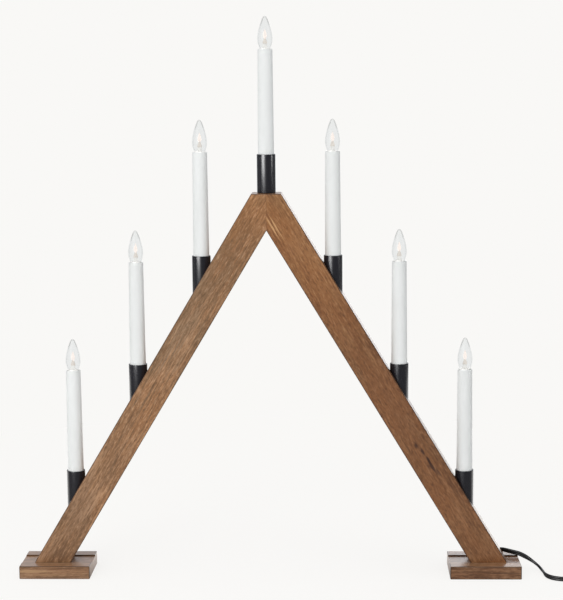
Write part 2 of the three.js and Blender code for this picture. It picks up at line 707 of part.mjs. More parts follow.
function makePlugBody() {
  const [back, full] = [PLUG_BACK / 2, PLUG_WIDTH / 2];
  const shoulder = PLUG_LENGTH - PLUG_SHOULDER;
  const outline = [
    [0, back],
    [0, -back],
    [shoulder, -full],
    [PLUG_LENGTH, -full],
    [PLUG_LENGTH, full],
    [shoulder, full],
  ].map(([x, y]) => new THREE.Vector2(x, y));
  const body = new THREE.ExtrudeGeometry(new THREE.Shape(outline), {
    depth: PLUG_THICKNESS - 2 * PLUG_EDGE,
    bevelThickness: PLUG_EDGE,
    bevelSize: PLUG_EDGE,
    bevelOffset: -PLUG_EDGE,
    bevelSegments: 1,
  });
  body.translate(PLUG_START, CORD_LINE, PLUG_Z - PLUG_THICKNESS / 2 + PLUG_EDGE);
  const nose = lyingCone(NOSE_TIP, NOSE_BASE, NOSE_LENGTH + PLUG_EDGE);
  nose.translate(NOSE_START, CORD_LINE, PLUG_Z);
  const sockets = [-1, 1].map((side) => (
    lyingPin(SEAT_GAP).translate(0, CORD_LINE + side * PIN_SPACING / 2, 0)
  ));
  return geometryOf(cut(solidOf(body).add(solidOf(nose)), ...sockets));
}

function material(color, roughness, metalness = 0) {
  return new THREE.MeshStandardMaterial({ color, roughness, metalness });
}

const materials = {
  walnut: material('#8a6547', 0.5),
  inner_wood: material('#b58c62', 0.7),
  black_lacquer: material('#1d1e21', 0.4, 0.3),
  white_plastic: material('#f1f0ec', 0.3),
  holder_plastic: material('#dcdad2', 0.5),
  clear_glass: material('#eef2f4', 0.05),
  cap_metal: material('#c9b27a', 0.3, 1),
  screw_steel: material('#a9abad', 0.35, 1),
  wire_sheath: material('#d8d4c8', 0.6),
  black_plastic: material('#141414', 0.5),
  black_cord: material('#101010', 0.6),
  pin_nickel: material('#c8c9cb', 0.25, 1),
};

const candelabra = new THREE.Group();

function addPiece(name, geometry, material, parent = candelabra) {
  const mesh = new THREE.Mesh(geometry, material);
  mesh.name = name;
  parent.add(mesh);
  return mesh;
}

function addCandle(name, x, rim) {
  const candle = new THREE.Group();
  candle.position.set(x, 0, rim + SLEEVE_SHOWING);
  candelabra.add(candle);
  const cup = addPiece(`${name}_cup`, makeCup(), materials.black_lacquer, candle);
  cup.position.z = -SLEEVE_SHOWING - CUP_LENGTH;
  addPiece(`${name}_sleeve`, makeSleeve(), materials.white_plastic, candle);
  addPiece(`${name}_lampholder`, makeLampholder(), materials.holder_plastic, candle);
  addPiece(`${name}_bulb_base`, makeBulbBase(), materials.cap_metal, candle);
  addPiece(`${name}_bulb_glass`, makeBulbGlass(), materials.clear_glass, candle);
}

function addSide(name, side) {
  addPiece(`${name}_beam`, makeBeam(side), materials.walnut);
  addPiece(`${name}_channel_cover`, makeCover(side), materials.walnut);
  addPiece(`${name}_wiring`, makeWiring(side), materials.wire_sheath);
  addPiece(`${name}_foot`, makeFoot(side), materials.walnut).position.x = side * FOOT_CENTRE;
  screwPlaces().forEach((x, i) => {
    const place = i ? 'outer' : 'inner';
    const screw = addPiece(`${name}_foot_${place}_screw`, makeScrew(), materials.screw_steel);
    screw.position.set(side * x, -SCREW_FRONT, SCREW_SUNK);
  });
  for (const { level, x, rim } of beamCandles()) addCandle(`${level}_${name}`, side * x, rim);
}

addSide('left', -1);
addSide('right', 1);
addPiece('apex_spline', splineBlock(0), materials.inner_wood);
addCandle('top', 0, TOP_RIM);

addPiece('cord_outlet', makeOutlet(), materials.black_plastic);
addPiece('cord_run', makeCordRun(), materials.black_cord);
addPiece('cord_coil', makeCoil(), materials.black_cord);
addPiece('cord_tie', makeTie(), materials.black_plastic);
addPiece('plug_body', makePlugBody(), materials.black_plastic);
for (const [name, side] of [['plug_front_pin', -1], ['plug_rear_pin', 1]]) {
  const pin = addPiece(name, lyingPin(0), materials.pin_nickel);
  pin.position.y = CORD_LINE + side * PIN_SPACING / 2;
}

export default candelabra;
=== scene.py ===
"""Looks of the electric candle arch: walnut beams and feet, black cups, white candle sleeves,
clear flame bulbs, and a flat black cord with its plug. Lengths are in metres, or in millimetres where a
comment says so."""

import json
from math import copysign, cos, pi, radians, sin, sqrt, tan

import bmesh
import bpy
from mathutils import Euler, Matrix, Vector

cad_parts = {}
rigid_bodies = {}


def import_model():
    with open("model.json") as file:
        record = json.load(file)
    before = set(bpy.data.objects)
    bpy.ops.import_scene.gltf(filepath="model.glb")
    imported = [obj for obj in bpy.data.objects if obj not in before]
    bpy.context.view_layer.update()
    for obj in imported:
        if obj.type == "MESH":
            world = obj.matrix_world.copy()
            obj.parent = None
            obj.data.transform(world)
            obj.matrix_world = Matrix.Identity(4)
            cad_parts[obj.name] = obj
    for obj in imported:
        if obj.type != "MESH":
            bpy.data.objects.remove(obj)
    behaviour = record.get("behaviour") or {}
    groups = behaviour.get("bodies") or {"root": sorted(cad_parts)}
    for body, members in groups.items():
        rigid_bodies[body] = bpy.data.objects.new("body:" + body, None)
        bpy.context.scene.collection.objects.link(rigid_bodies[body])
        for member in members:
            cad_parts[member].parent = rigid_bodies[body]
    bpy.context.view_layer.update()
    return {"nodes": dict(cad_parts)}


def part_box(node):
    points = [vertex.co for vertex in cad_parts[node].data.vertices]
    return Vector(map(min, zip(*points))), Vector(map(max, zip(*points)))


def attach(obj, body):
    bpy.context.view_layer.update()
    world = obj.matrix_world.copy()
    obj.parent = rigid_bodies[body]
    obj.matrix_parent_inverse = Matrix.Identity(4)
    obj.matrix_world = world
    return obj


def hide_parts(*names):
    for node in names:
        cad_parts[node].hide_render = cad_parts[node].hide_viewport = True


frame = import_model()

MM = 0.001
UP = Vector((0, 0, 1))

# Where the camera stands, its yaw, pitch and roll in radians, and its lens in millimetres
CAMERA_PLACE = (0.0751398, -1.7636990, 0.5439720)
CAMERA_TURN = (-0.0343130, 0.1405293, 0.0094009)
CAMERA_LENS = 101.862

# Sizes that the model's own boxes don't give
LEAN = radians(31)
BEAM_WIDTH = 33 * MM
BEAM_EASE = 0.7 * MM
APEX_FLAT = 31 * MM
MITRE_GAP = 0.06 * MM
MITRE_CRISP = 1 * MM
FOOT_EASE = 0.8 * MM
FOOT_GROOVE_DEPTH = 1.3 * MM
SEAT_GAP = 0.3 * MM
SPIGOT_RADIUS = 3.95 * MM
SPIGOT_LENGTH = 8 * MM
CHANNEL_INSET = 20 * MM
CHANNEL_WIDTH = 8 * MM
COVER_LIP = 1.3 * MM
COVER_THICKNESS = 2.1 * MM
COVER_EASE = 0.3 * MM
GLASS_WALL = 0.7 * MM
OUTLET_WIDTH = 12 * MM
OUTLET_EASE = 1.2 * MM
ON_AXIS = 1e-7

# Heights on a candle and its bulb, in millimetres from the sleeve's top
CUP_FOOT = -148
CUP_RIM = -108
SLEEVE_FOOT = CUP_RIM - 37.7
COLLAR_FOOT = -2.7
COLLAR_TOP = 0.8

# Flat cord: its free run's points, then its coil
CORD_WIDTH = 5 * MM
CORD_THICKNESS = 2.7 * MM
CORD_STEP = 1.5 * MM
CORD_LEAN = [(0, 30), (0.06, 12), (0.17, 5), (0.3, 52), (0.38, 45), (0.6, 0)]
COIL_TURNS = 9
COIL_STEPS = 44
COIL_X = 0.358
COIL_INNER = 0.022
COIL_PITCH = 3.3 * MM
COIL_TURN_IN = 2.2 * MM
COIL_TAIL = 0.038
TAIL_STEPS = 16
TAIL_HIGH = 0.016
COIL_LOW = 3.8 * MM
COIL_HIGH = 9.4 * MM
SPIRAL_TURNS = (COIL_TURNS - 0.5) / 2
COIL_OUTER = COIL_INNER + COIL_PITCH * SPIRAL_TURNS
CORD_LINE = -COIL_OUTER
PLUG_Z = 7.15 * MM
CORD_EXIT = (0.24621, 0.0184, 0.0192)
CORD_ROUTE = [
    CORD_EXIT, (0.2494, 0.0184, 0.0191), (0.2530, 0.0178, 0.0185),
    (0.2565, 0.0167, 0.0179), (0.2600, 0.0152, 0.0174), (0.2635, 0.0133, 0.0170),
    (0.2675, 0.0118, 0.0162), (0.2714, 0.0108, 0.0146), (0.2755, 0.0099, 0.0125),
    (0.2795, 0.0084, 0.0102), (0.2832, 0.0058, 0.0080), (0.2868, 0.0020, 0.0056),
    (0.2894, -0.0040, 0.0035), (0.2907, -0.0110, 0.0028), (0.2913, -0.0180, 0.0028),
    (0.2936, -0.0255, 0.0028), (0.2988, -0.0316, 0.0028), (0.3060, -0.0350, 0.0028),
    (0.3145, CORD_LINE, 0.0028), (0.3250, CORD_LINE, 0.0031), (0.3360, CORD_LINE, 0.0036),
    (0.3460, CORD_LINE, COIL_LOW), (0.3527, CORD_LINE, COIL_LOW),
]

# Rings along the plug, in millimetres: place, half width, half height, and squareness from 2, round
PLUG_SHAPE = [
    (0, 3.5, 3.5, 2), (0.3, 3.8, 3.8, 2), (8, 4.3, 4.3, 2), (15, 4.9, 4.8, 2.1), (18.5, 5.6, 5.3, 2.2),
    (21, 6.8, 5.9, 2.4), (23.5, 8.4, 6.4, 2.7), (27, 10.7, 6.7, 3.1), (31, 13.2, 6.8, 3.6),
    (35, 15.6, 6.84, 4.2), (38, 16.9, 6.84, 4.8), (41, 17.4, 6.84, 5.4), (44, 17.48, 6.84, 6),
    (50.6, 17.48, 6.84, 6), (51.4, 17.35, 6.7, 6), (51.8, 17.05, 6.4, 6), (52, 16.5, 5.9, 6),
]

# The glass's outside from its mouth to its tip, in millimetres: radius and height
FLAME_SHAPE = [
    (5.9, 1.1), (6.2, 2.0), (6.85, 4.0), (7.5, 6.4), (7.78, 8.8), (7.76, 11.2), (7.5, 14.2), (7.0, 17.2),
    (6.3, 20.2), (5.4, 23.2), (4.5, 26.0), (3.5, 28.6), (2.7, 30.6), (2.0, 32.1), (1.2, 33.1), (0, 33.5),
]

SIDES = (("left", -1), ("right", 1))
LEVELS = ("lower", "middle", "upper")
PLACES = [f"{level}_{name}" for name, side in SIDES for level in LEVELS] + ["top"]
SCREWS = {name: [f"{name}_foot_{place}_screw" for place in ("inner", "outer")] for name, side in SIDES}

# Colours of the studio
PALE = (0.947, 0.939, 0.922)
SOFT = (0.95, 0.97, 1.0)
COOL = (0.93, 0.965, 1.02)


def in_scene(name, data):
    """An object in the scene for a mesh, a lens or a light."""
    obj = bpy.data.objects.new(name, data)
    bpy.context.scene.collection.objects.link(obj)
    return obj


def make_camera():
    """The photo's standpoint: a long lens, a little right of the middle and above, looking down."""
    yaw, pitch, roll = CAMERA_TURN
    data = bpy.data.cameras.new("camera")
    data.sensor_width = 36
    data.lens = CAMERA_LENS
    camera = in_scene("camera", data)
    turn = Matrix.Rotation(-yaw, 4, "Z") @ Matrix.Rotation(pi / 2 - pitch, 4, "X")
    turn = turn @ Matrix.Rotation(-roll, 4, "Z")
    camera.matrix_world = Matrix.Translation(CAMERA_PLACE) @ turn
    bpy.context.scene.camera = camera


# Shapes

def piece_from(name, bm, sharp=35):
    """A piece with this mesh, smooth but for edges sharper than that many degrees."""
    mesh = bpy.data.meshes.new(name)
    bm.to_mesh(mesh)
    bm.free()
    mesh.shade_smooth()
    mesh.set_sharp_from_angle(angle=radians(sharp))
    return in_scene(name, mesh)


def settle(obj):
    """Turns what a piece's modifiers make into its own plain mesh."""
    graph = bpy.context.evaluated_depsgraph_get()
    made = bpy.data.meshes.new_from_object(obj.evaluated_get(graph), depsgraph=graph)
    spent = obj.data
    obj.modifiers.clear()
    obj.data = made
    made.name = obj.name
    bpy.data.meshes.remove(spent)


def drop(obj):
    """Takes away a spent piece and its mesh."""
    spent = obj.data
    bpy.data.objects.remove(obj)
    bpy.data.meshes.remove(spent)


def joined(name, pieces):
    """Several pieces as one, with their finishes kept."""
    bm = bmesh.new()
    finishes = []
    for piece in pieces:
        first_face = len(bm.faces)
        bm.from_mesh(piece.data)
        bm.faces.ensure_lookup_table()
        own = [slot.material for slot in piece.material_slots] or [None]
        finishes += [finish for finish in own if finish not in finishes]
        for face in bm.faces[first_face:]:
            face.material_index = finishes.index(own[min(face.material_index, len(own) - 1)])
        drop(piece)
    obj = piece_from(name, bm)
    for finish in finishes:
        obj.data.materials.append(finish)
    return obj


def cut(obj, cutters):
    """Cuts other pieces' shapes out of a piece, and spends them."""
    for cutter in cutters:
        boolean = obj.modifiers.new("cut", "BOOLEAN")
        boolean.operation = "DIFFERENCE"
        boolean.solver = "EXACT"
        boolean.object = cutter
    settle(obj)
    for cutter in cutters:
        drop(cutter)
    obj.data.shade_smooth()
    obj.data.set_sharp_from_angle(angle=radians(20))


def eased(profile, steps=4):
    """A profile in millimetres, of (radius, height) or (radius, height, ease), as points in metres with
    its eased corners rounded."""
    points = []
    for i, corner in enumerate(profile):
        here = Vector(corner[:2])
        if len(corner) < 3:
            points.append(here)
            continue
        ease = corner[2]
        before = Vector(profile[i - 1][:2]) - here
        after = Vector(profile[(i + 1) % len(profile)][:2]) - here
        start = here + before.normalized() * min(ease, before.length / 2)
        end = here + after.normalized() * min(ease, after.length / 2)
        for k in range(steps + 1):
            t = k / steps
            points.append(start * (1 - t) ** 2 + here * 2 * t * (1 - t) + end * t * t)
    return [tuple(point * MM) for point in points]


def skin(bm, rings):
    """Faces between each ring of points and the next. A ring may be one point, at a piece's end."""
    for near, far in zip(rings, rings[1:]):
        for k in range(len(near)):
            after = (k + 1) % len(near)
            corners = list(dict.fromkeys((near[k], near[after], far[after], far[k])))
            if len(corners) > 2:
                bm.faces.new(corners)


def turned(name, profile, sides, sharp=35):
    """A turned piece about Z. A profile that stays off the axis closes on itself."""
    bm = bmesh.new()
    angles = [2 * pi * k / sides for k in range(sides)]
    rings = []
    for radius, height in profile:
        if radius < ON_AXIS:
            rings.append([bm.verts.new((0, 0, height))] * sides)
        else:
            rings.append([bm.verts.new((radius * cos(a), radius * sin(a), height)) for a in angles])
    if min(profile[0][0], profile[-1][0]) >= ON_AXIS:
        rings.append(rings[0])
    skin(bm, rings)
    bmesh.ops.recalc_face_normals(bm, faces=bm.faces)
    return piece_from(name, bm, sharp)


def swept(name, rings, closed=False):
    """A skin through rings of points, with closed ends unless the rings close on themselves."""
    bm = bmesh.new()
    made = [[bm.verts.new(point) for point in ring] for ring in rings]
    if closed:
        made.append(made[0])
    skin(bm, made)
    if not closed:
        bm.faces.new(made[0][::-1])
        bm.faces.new(made[-1])
    bmesh.ops.recalc_face_normals(bm, faces=bm.faces)
    return piece_from(name, bm, 50)


def prism(name, outline, front, back, ease=0, steps=3, crisp=0):
    """A piece of even thickness from front to back, from its outline of (x, z), with its edges eased but for
    those within crisp of the middle line."""
    bm = bmesh.new()
    near = [bm.verts.new((x, front, z)) for x, z in outline]
    far = [bm.verts.new((x, back, z)) for x, z in outline]
    bm.faces.new(near)
    bm.faces.new(far[::-1])
    for i in range(len(outline)):
        j = (i + 1) % len(outline)
        bm.faces.new((near[j], near[i], far[i], far[j]))
    bmesh.ops.recalc_face_normals(bm, faces=bm.faces)
    if ease:
        edges = [edge for edge in bm.edges if max(abs(vert.co.x) for vert in edge.verts) > crisp]
        bmesh.ops.bevel(
            bm, geom=edges, offset=ease, segments=steps, profile=0.5, affect="EDGES", clamp_overlap=True)
    return piece_from(name, bm, 20)


def block(name, low, high, ease=0, steps=3):
    """A bar between two corners."""
    outline = [(low[0], low[2]), (high[0], low[2]), (high[0], high[2]), (low[0], high[2])]
    return prism(name, outline, low[1], high[1], ease, steps)


def rod(name, radius, low, high, x):
    """An upright round cutter on the beams' middle plane."""
    bm = bmesh.new()
    place = Matrix.Translation((x, 0, (low + high) / 2))
    bmesh.ops.create_cone(
        bm, cap_ends=True, segments=48, radius1=radius, radius2=radius, depth=high - low, matrix=place)
    return piece_from(name, bm)


def moved(obj, place):
    obj.data.transform(Matrix.Translation(place))
    return obj


def lying(obj, place):
    """Lays an upright piece down along +X, with its foot at that place."""
    obj.data.transform(Matrix.Translation(place) @ Matrix.Rotation(pi / 2, 4, "Y"))


def middle_of(node, end=0):
    """The middle of a node's underside, or of its top where end is 1."""
    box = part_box(node)
    return Vector((*((box[0] + box[1]) / 2).xy, box[end].z))


def candle_top(place):
    return middle_of(f"{place}_sleeve", 1)


# What repeats

class Nodes:
    """A node tree and short ways to add its nodes. An input is a value, a colour or a node's output."""

    family = "ShaderNode"

    def __init__(self, tree):
        self.tree = tree

    def feed(self, socket, value):
        if isinstance(value, bpy.types.NodeSocket):
            self.tree.links.new(value, socket)
        elif socket.type == "RGBA":
            socket.default_value = (*value, 1)
        else:
            socket.default_value = value

    def node(self, kind, inputs=(), **settings):
        node = self.tree.nodes.new(kind if "Node" in kind else self.family + kind)
        for label, value in settings.items():
            setattr(node, label, value)
        for label, value in dict(inputs).items():
            self.feed(node.inputs[label], value)
        return node

    def add(self, kind, inputs=(), out=0, **settings):
        """Adds a node and gives one of its outputs."""
        return self.node(kind, inputs, **settings).outputs[out]


class Pattern(Nodes):
    """A Geometry Nodes tree with named inputs, which ends in plain mesh with its finish."""

    family = "GeometryNode"

    def __init__(self, name, **inputs):
        super().__init__(bpy.data.node_groups.new(name, "GeometryNodeTree"))
        sockets = self.tree.interface
        for label, kind in {"Geometry": "Geometry", **inputs, "Finish": "Material"}.items():
            sockets.new_socket(label.replace("_", " "), in_out="INPUT", socket_type=f"NodeSocket{kind}")
        sockets.new_socket("Geometry", in_out="OUTPUT", socket_type="NodeSocketGeometry")
        self.given = self.node("NodeGroupInput").outputs

    def row(self, count, first, step):
        return self.add("MeshLine", {"Count": count, "Start Location": first, "Offset": step}, mode="OFFSET")

    def copies(self, points):
        return self.add("InstanceOnPoints", {"Points": points, "Instance": self.given["Geometry"]})

    def together(self, *parts):
        join = self.node("JoinGeometry")
        for part in parts:
            self.feed(join.inputs["Geometry"], part)
        return join.outputs["Geometry"]

    def end(self, made):
        """Real copies instead of instances, with their finish."""
        real = self.add("RealizeInstances", {"Geometry": made})
        finished = self.add("SetMaterial", {"Geometry": real, "Material": self.given["Finish"]})
        self.node("NodeGroupOutput", {"Geometry": finished})
        return self.tree


def row_tree():
    """Copies of a piece in a straight row."""
    pattern = Pattern("row_of_pieces", Count="Int", First_Place="Vector", Step="Vector")
    given = pattern.given
    points = pattern.row(given["Count"], given["First Place"], given["Step"])
    return pattern.end(pattern.copies(points))


def candle_tree():
    """Copies of a candle's piece, in a row up each beam and one on the apex."""
    pattern = Pattern("candle_places", Count="Int", Lowest_Place="Vector", Step="Vector", Top_Place="Vector")
    given = pattern.given
    rows = []
    for side in (1, -1):
        first, step = [
            pattern.add("ShaderNodeVectorMath", {0: given[label], 1: (side, 1, 1)}, operation="MULTIPLY")
            for label in ("Lowest Place", "Step")]
        rows.append(pattern.row(given["Count"], first, step))
    rows.append(pattern.row(1, given["Top Place"], UP))
    return pattern.end(pattern.copies(pattern.together(*rows)))


def thread_tree():
    """A round ridge wound on a screw cap, joined to the cap."""
    pattern = Pattern(
        "screw_thread", Radius="Float", Ridge="Float", Turns="Float", Foot="Vector", Length="Float")
    given = pattern.given
    spiral = pattern.add("CurveSpiral", {
        "Resolution": 28, "Rotations": given["Turns"], "Start Radius": given["Radius"],
        "End Radius": given["Radius"], "Height": given["Length"]})
    section = pattern.add("CurvePrimitiveCircle", {"Resolution": 8, "Radius": given["Ridge"]})
    ridge = pattern.add("CurveToMesh", {"Curve": spiral, "Profile Curve": section, "Fill Caps": True})
    smooth = pattern.add("SetShadeSmooth", {"Geometry": ridge})
    wound = pattern.add("SetPosition", {"Geometry": smooth, "Offset": given["Foot"]})
    return pattern.end(pattern.together(wound, given["Geometry"]))


def grown(obj, tree, **values):
    """Runs a tree on a piece, with its named inputs set, and keeps the result as plain mesh."""
    modifier = obj.modifiers.new(tree.name, "NODES")
    modifier.node_group = tree
    for item in tree.interface.items_tree:
        label = item.name.replace(" ", "_")
        if item.in_out == "INPUT" and label in values:
            modifier[item.identifier] = values[label]
    settle(obj)


# Finishes

class Finish(Nodes):
    """A material and short ways to add its nodes."""

    def __init__(self, name, **settings):
        self.material = bpy.data.materials.new(name)
        self.material.use_nodes = True
        super().__init__(self.material.node_tree)
        self.shader = self.tree.nodes["Principled BSDF"]
        for label, value in settings.items():
            self.to(label.replace("_", " "), value)

    def to(self, label, value):
        self.feed(self.shader.inputs[label], value)

    def place(self, turn=(0, 0, 0), shift=(0, 0, 0), stretch=(1, 1, 1)):
        """The object's own coordinates, turned and shifted, then stretched."""
        own = self.add("TexCoord", out="Object")
        placed = self.add("Mapping", {"Vector": own, "Rotation": turn, "Location": shift})
        return self.add("Mapping", {"Vector": placed, "Scale": stretch})

    def noise(self, at, scale, detail=3, rough=0.5, distortion=0):
        return self.add("TexNoise", {
            "Vector": at, "Scale": scale, "Detail": detail, "Roughness": rough, "Distortion": distortion})

    def ramp(self, value, *stops):
        """Colours or greys along a value: stops are (place, colour or grey)."""
        node = self.node("ValToRGB", {"Fac": value})
        while len(node.color_ramp.elements) < len(stops):
            node.color_ramp.elements.new(0.5)
        for element, (place, colour) in zip(node.color_ramp.elements, stops):
            element.position = place
            element.color = (*(colour if hasattr(colour, "__len__") else (colour,) * 3), 1)
        return node.outputs["Color"]

    def math(self, operation, a, b):
        return self.add("Math", {0: a, 1: b}, operation=operation)

    def sum(self, *shares):
        """The sum of values, each times its share."""
        total = 0.0
        for value, share in shares:
            total = self.math("ADD", total, self.math("MULTIPLY", value, share))
        return total

    def blend(self, share, a, b, how="MIX"):
        return self.add("Mix", {0: share, 6: a, 7: b}, 2, data_type="RGBA", blend_type=how)

    def attribute(self, name):
        return self.add("Attribute", out="Fac", attribute_name=name)

    def bump(self, height, strength, distance):
        inputs = {"Height": height, "Strength": strength, "Distance": distance}
        self.to("Normal", self.add("Bump", inputs))


def wood(name, turn, shift, palette, marks=(), streaks=0.35, grit=(0.75, 0.6)):
    """Oiled walnut: even brown with short flecks, soft warm patches, and golden and dark streaks."""
    dark, middle, light, blush = palette
    finish = Finish(name, Specular_IOR_Level=0.12, Coat_Weight=0.85, Coat_Roughness=0.3)

    def along(stretch):
        return finish.place(turn, shift, (1, 1, stretch))

    rings = finish.add("TexWave", {
        "Vector": along(0.06), "Scale": 95, "Distortion": 9, "Detail": 3, "Detail Scale": 0.7,
        "Detail Roughness": 0.6}, "Fac", wave_type="RINGS", rings_direction="Z")
    fibres = finish.noise(along(0.06), scale=560, detail=5, rough=0.65)
    drift = finish.noise(along(0.28), scale=60, detail=4, rough=0.55, distortion=0.5)
    patches = finish.noise(along(0.35), scale=24, detail=2)
    veins = finish.noise(along(0.05), scale=300, detail=4, rough=0.6)
    flecks = finish.noise(along(0.22), scale=640, detail=3, rough=0.7)
    tone = finish.sum((rings, 0.05), (fibres, 0.45), (drift, 0.5))
    colour = finish.ramp(tone, (0.36, dark), (0.5, middle), (0.66, light))
    golden = tuple(1.3 * v for v in light)
    pale = tuple(1.15 * v for v in light)
    for figure, low, high, over in (
            (patches, (0.42, 0.0), (0.62, 0.75), blush), (veins, (0.56, 0.0), (0.72, streaks), golden),
            (veins, (0.28, streaks), (0.44, 0.0), dark), (flecks, (0.34, grit[0]), (0.48, 0.0), dark),
            (flecks, (0.53, 0.0), (0.68, grit[1]), pale)):
        colour = finish.blend(finish.ramp(figure, low, high), colour, over)
    for at, size, over, share, how in marks:
        colour = finish.blend(mark_share(finish, turn, at, size, share), colour, over, how)
    # The edge mark darkens the eased edges and paints shade on the feet's groove rear walls, towards half the
    # dark brown
    edges = finish.math("MULTIPLY", finish.attribute("edge"), 0.85)
    finish.to("Base Color", finish.blend(edges, colour, tuple(0.5 * v for v in dark)))
    finish.to("Roughness", finish.ramp(fibres, (0.3, 0.6), (0.7, 0.46)))
    finish.bump(finish.sum((fibres, 0.5), (flecks, 0.5)), 0.3, 0.1 * MM)
    return finish.material


def mark(at, size, colour, share):
    """A figure in the wood of its own colour. Its size is along the turned grain."""
    return at, size, colour, share, "MIX"


def tint(at, size, colour):
    """A part of the wood that is lighter, darker or warmer: the colour multiplies what is there."""
    return at, size, colour, 1.0, "MULTIPLY"


def mark_share(finish, turn, at, size, share):
    """How strong a mark is at each point: an oval along the grain, frayed by the fibres."""
    middle = Euler(turn).to_matrix() @ Vector(at)
    spot = finish.place(turn, tuple(-middle), tuple(1 / v for v in size))
    frayed = finish.noise(finish.place(turn, stretch=(1, 1, 0.06)), 420, 3, 0.6)
    reach = finish.add("VectorMath", {0: spot}, "Value", operation="LENGTH")
    reach = finish.math("ADD", reach, finish.math("MULTIPLY", finish.math("SUBTRACT", frayed, 0.5), 4.0))
    return finish.ramp(reach, (0.3, share), (1.0, 0.0))


def make_woods():
    """The beams, feet, covers and tenon. A palette is dark, middle, light and blush."""
    left, right = (0, -LEAN, 0), (0, LEAN, 0)
    flat = (0, pi / 2, 0)
    browns = [(0.191, 0.094, 0.042), (0.335, 0.172, 0.079), (0.468, 0.269, 0.146), (0.347, 0.159, 0.064)]
    dulls = [(0.167, 0.089, 0.044), (0.291, 0.158, 0.081), (0.412, 0.246, 0.142), (0.306, 0.148, 0.069)]
    reds = [(0.106, 0.042, 0.016), (0.217, 0.096, 0.036), (0.329, 0.164, 0.074), (0.230, 0.086, 0.027)]
    darks = [(0.078, 0.032, 0.014), (0.187, 0.083, 0.035), (0.302, 0.157, 0.080), (0.205, 0.078, 0.028)]
    beech = [(0.42, 0.27, 0.14), (0.5, 0.34, 0.19), (0.58, 0.41, 0.25), (0.52, 0.33, 0.18)]
    left_marks = [
        tint((-0.214, -0.014, 0.072), (0.05, 0.05, 0.055), (0.88, 0.89, 0.91)),
        tint((-0.212, -0.014, 0.07), (0.06, 0.06, 0.15), (0.84, 0.85, 0.87)),
        tint((-0.068, -0.014, 0.322), (0.08, 0.08, 0.17), (0.7, 0.757, 0.8)),
        tint((-0.008, -0.014, 0.398), (0.03, 0.03, 0.05), (1.18, 1.06, 0.9)),
    ]
    right_marks = [
        mark((0.0085, -0.014, 0.3725), (0.003, 0.01, 0.018), (0.47, 0.25, 0.11), 0.9),
        mark((0.1548, -0.014, 0.1412), (0.0021, 0.01, 0.0045), (0.04, 0.016, 0.009), 0.85),
        mark((0.1622, -0.014, 0.1346), (0.0018, 0.01, 0.0045), (0.05, 0.02, 0.012), 0.8),
        mark((0.1688, -0.014, 0.1264), (0.0021, 0.01, 0.0045), (0.04, 0.016, 0.009), 0.85),
        mark((0.1712, -0.014, 0.1186), (0.0024, 0.01, 0.005), (0.05, 0.02, 0.012), 0.8),
        mark((0.179, -0.014, 0.112), (0.002, 0.01, 0.006), (0.07, 0.03, 0.016), 0.6),
        tint((0.0298, -0.014, 0.385), (0.07, 0.07, 0.17), (1.3, 1.4, 1.42)),
        tint((0.147, -0.014, 0.19), (0.05, 0.05, 0.14), (0.88, 0.89, 0.93)),
    ]
    left_streaks = [
        mark((-0.242, -0.029, 0.0088), (0.0018, 0.02, 0.035), (0.44, 0.26, 0.13), 0.8),
        mark((-0.22, -0.029, 0.0112), (0.001, 0.02, 0.03), (0.11, 0.05, 0.022), 0.7),
        mark((-0.228, -0.029, 0.0048), (0.0012, 0.02, 0.03), (0.4, 0.23, 0.11), 0.6),
        mark((-0.235, -0.029, 0.002), (0.0009, 0.02, 0.04), (0.11, 0.05, 0.022), 0.6),
    ]
    right_foot_streaks_and_painted_sheen = [
        mark((0.215, -0.029, 0.01), (0.0012, 0.02, 0.03), (0.3, 0.16, 0.075), 0.6),
        mark((0.225, -0.029, 0.0022), (0.001, 0.02, 0.03), (0.05, 0.02, 0.009), 0.7),
        mark((0.242, -0.029, 0.0068), (0.001, 0.02, 0.022), (0.06, 0.024, 0.01), 0.6),
        # Painted reflection: this greyish lightening of the right foot's top in front of the beam stands in
        # for the satin sheen seen there
        tint((0.225, -0.0205, 0.014), (0.0022, 0.02, 0.07), (1.5, 1.75, 2.0)),
    ]
    return {
        "left_beam": wood("walnut_left_beam", left, (0.045, 0.07, 0), browns, left_marks, 0.5, (0.82, 0.78)),
        "right_beam": wood("walnut_right_beam", right, (-0.06, 0.05, 0.3), reds, right_marks),
        "left_foot": wood("walnut_left_foot", flat, (0.03, -0.05, 0.1), dulls, left_streaks, 0.6),
        "right_foot": wood("walnut_right_foot", flat, (0.05, 0.06, 0.7), darks, right_foot_streaks_and_painted_sheen, 0.5),
        "left_cover": wood("walnut_left_cover", left, (0.1, 0.02, 0.4), browns),
        "right_cover": wood("walnut_right_cover", right, (0.12, 0.04, 0.9), reds),
        "spline": wood("beech_spline", flat, (0.02, 0.02, 0), beech),
    }


def speckled(name, scale, detail, low, high, rough=None, relief=None, stretch=(1, 1, 1), full=0.7, fine=0.5,
             channel="Base Color", **settings):
    """A finish that wavers between two colours, and between two roughnesses where they are given. Its relief
    is a strength and a depth in millimetres, with the scale of its own noise where that differs."""
    finish = Finish(name, **settings)
    speck = finish.noise(finish.place(stretch=stretch), scale, detail, fine)
    finish.to(channel, finish.ramp(speck, (0.3, low), (full, high)))
    if rough:
        finish.to("Roughness", finish.ramp(speck, (0.3, rough[0]), (full, rough[1])))
    if relief:
        strength, depth, *own_scale = relief
        height = finish.noise(finish.place(), own_scale[0], 2) if own_scale else speck
        finish.bump(height, strength, depth * MM)
    return finish.material


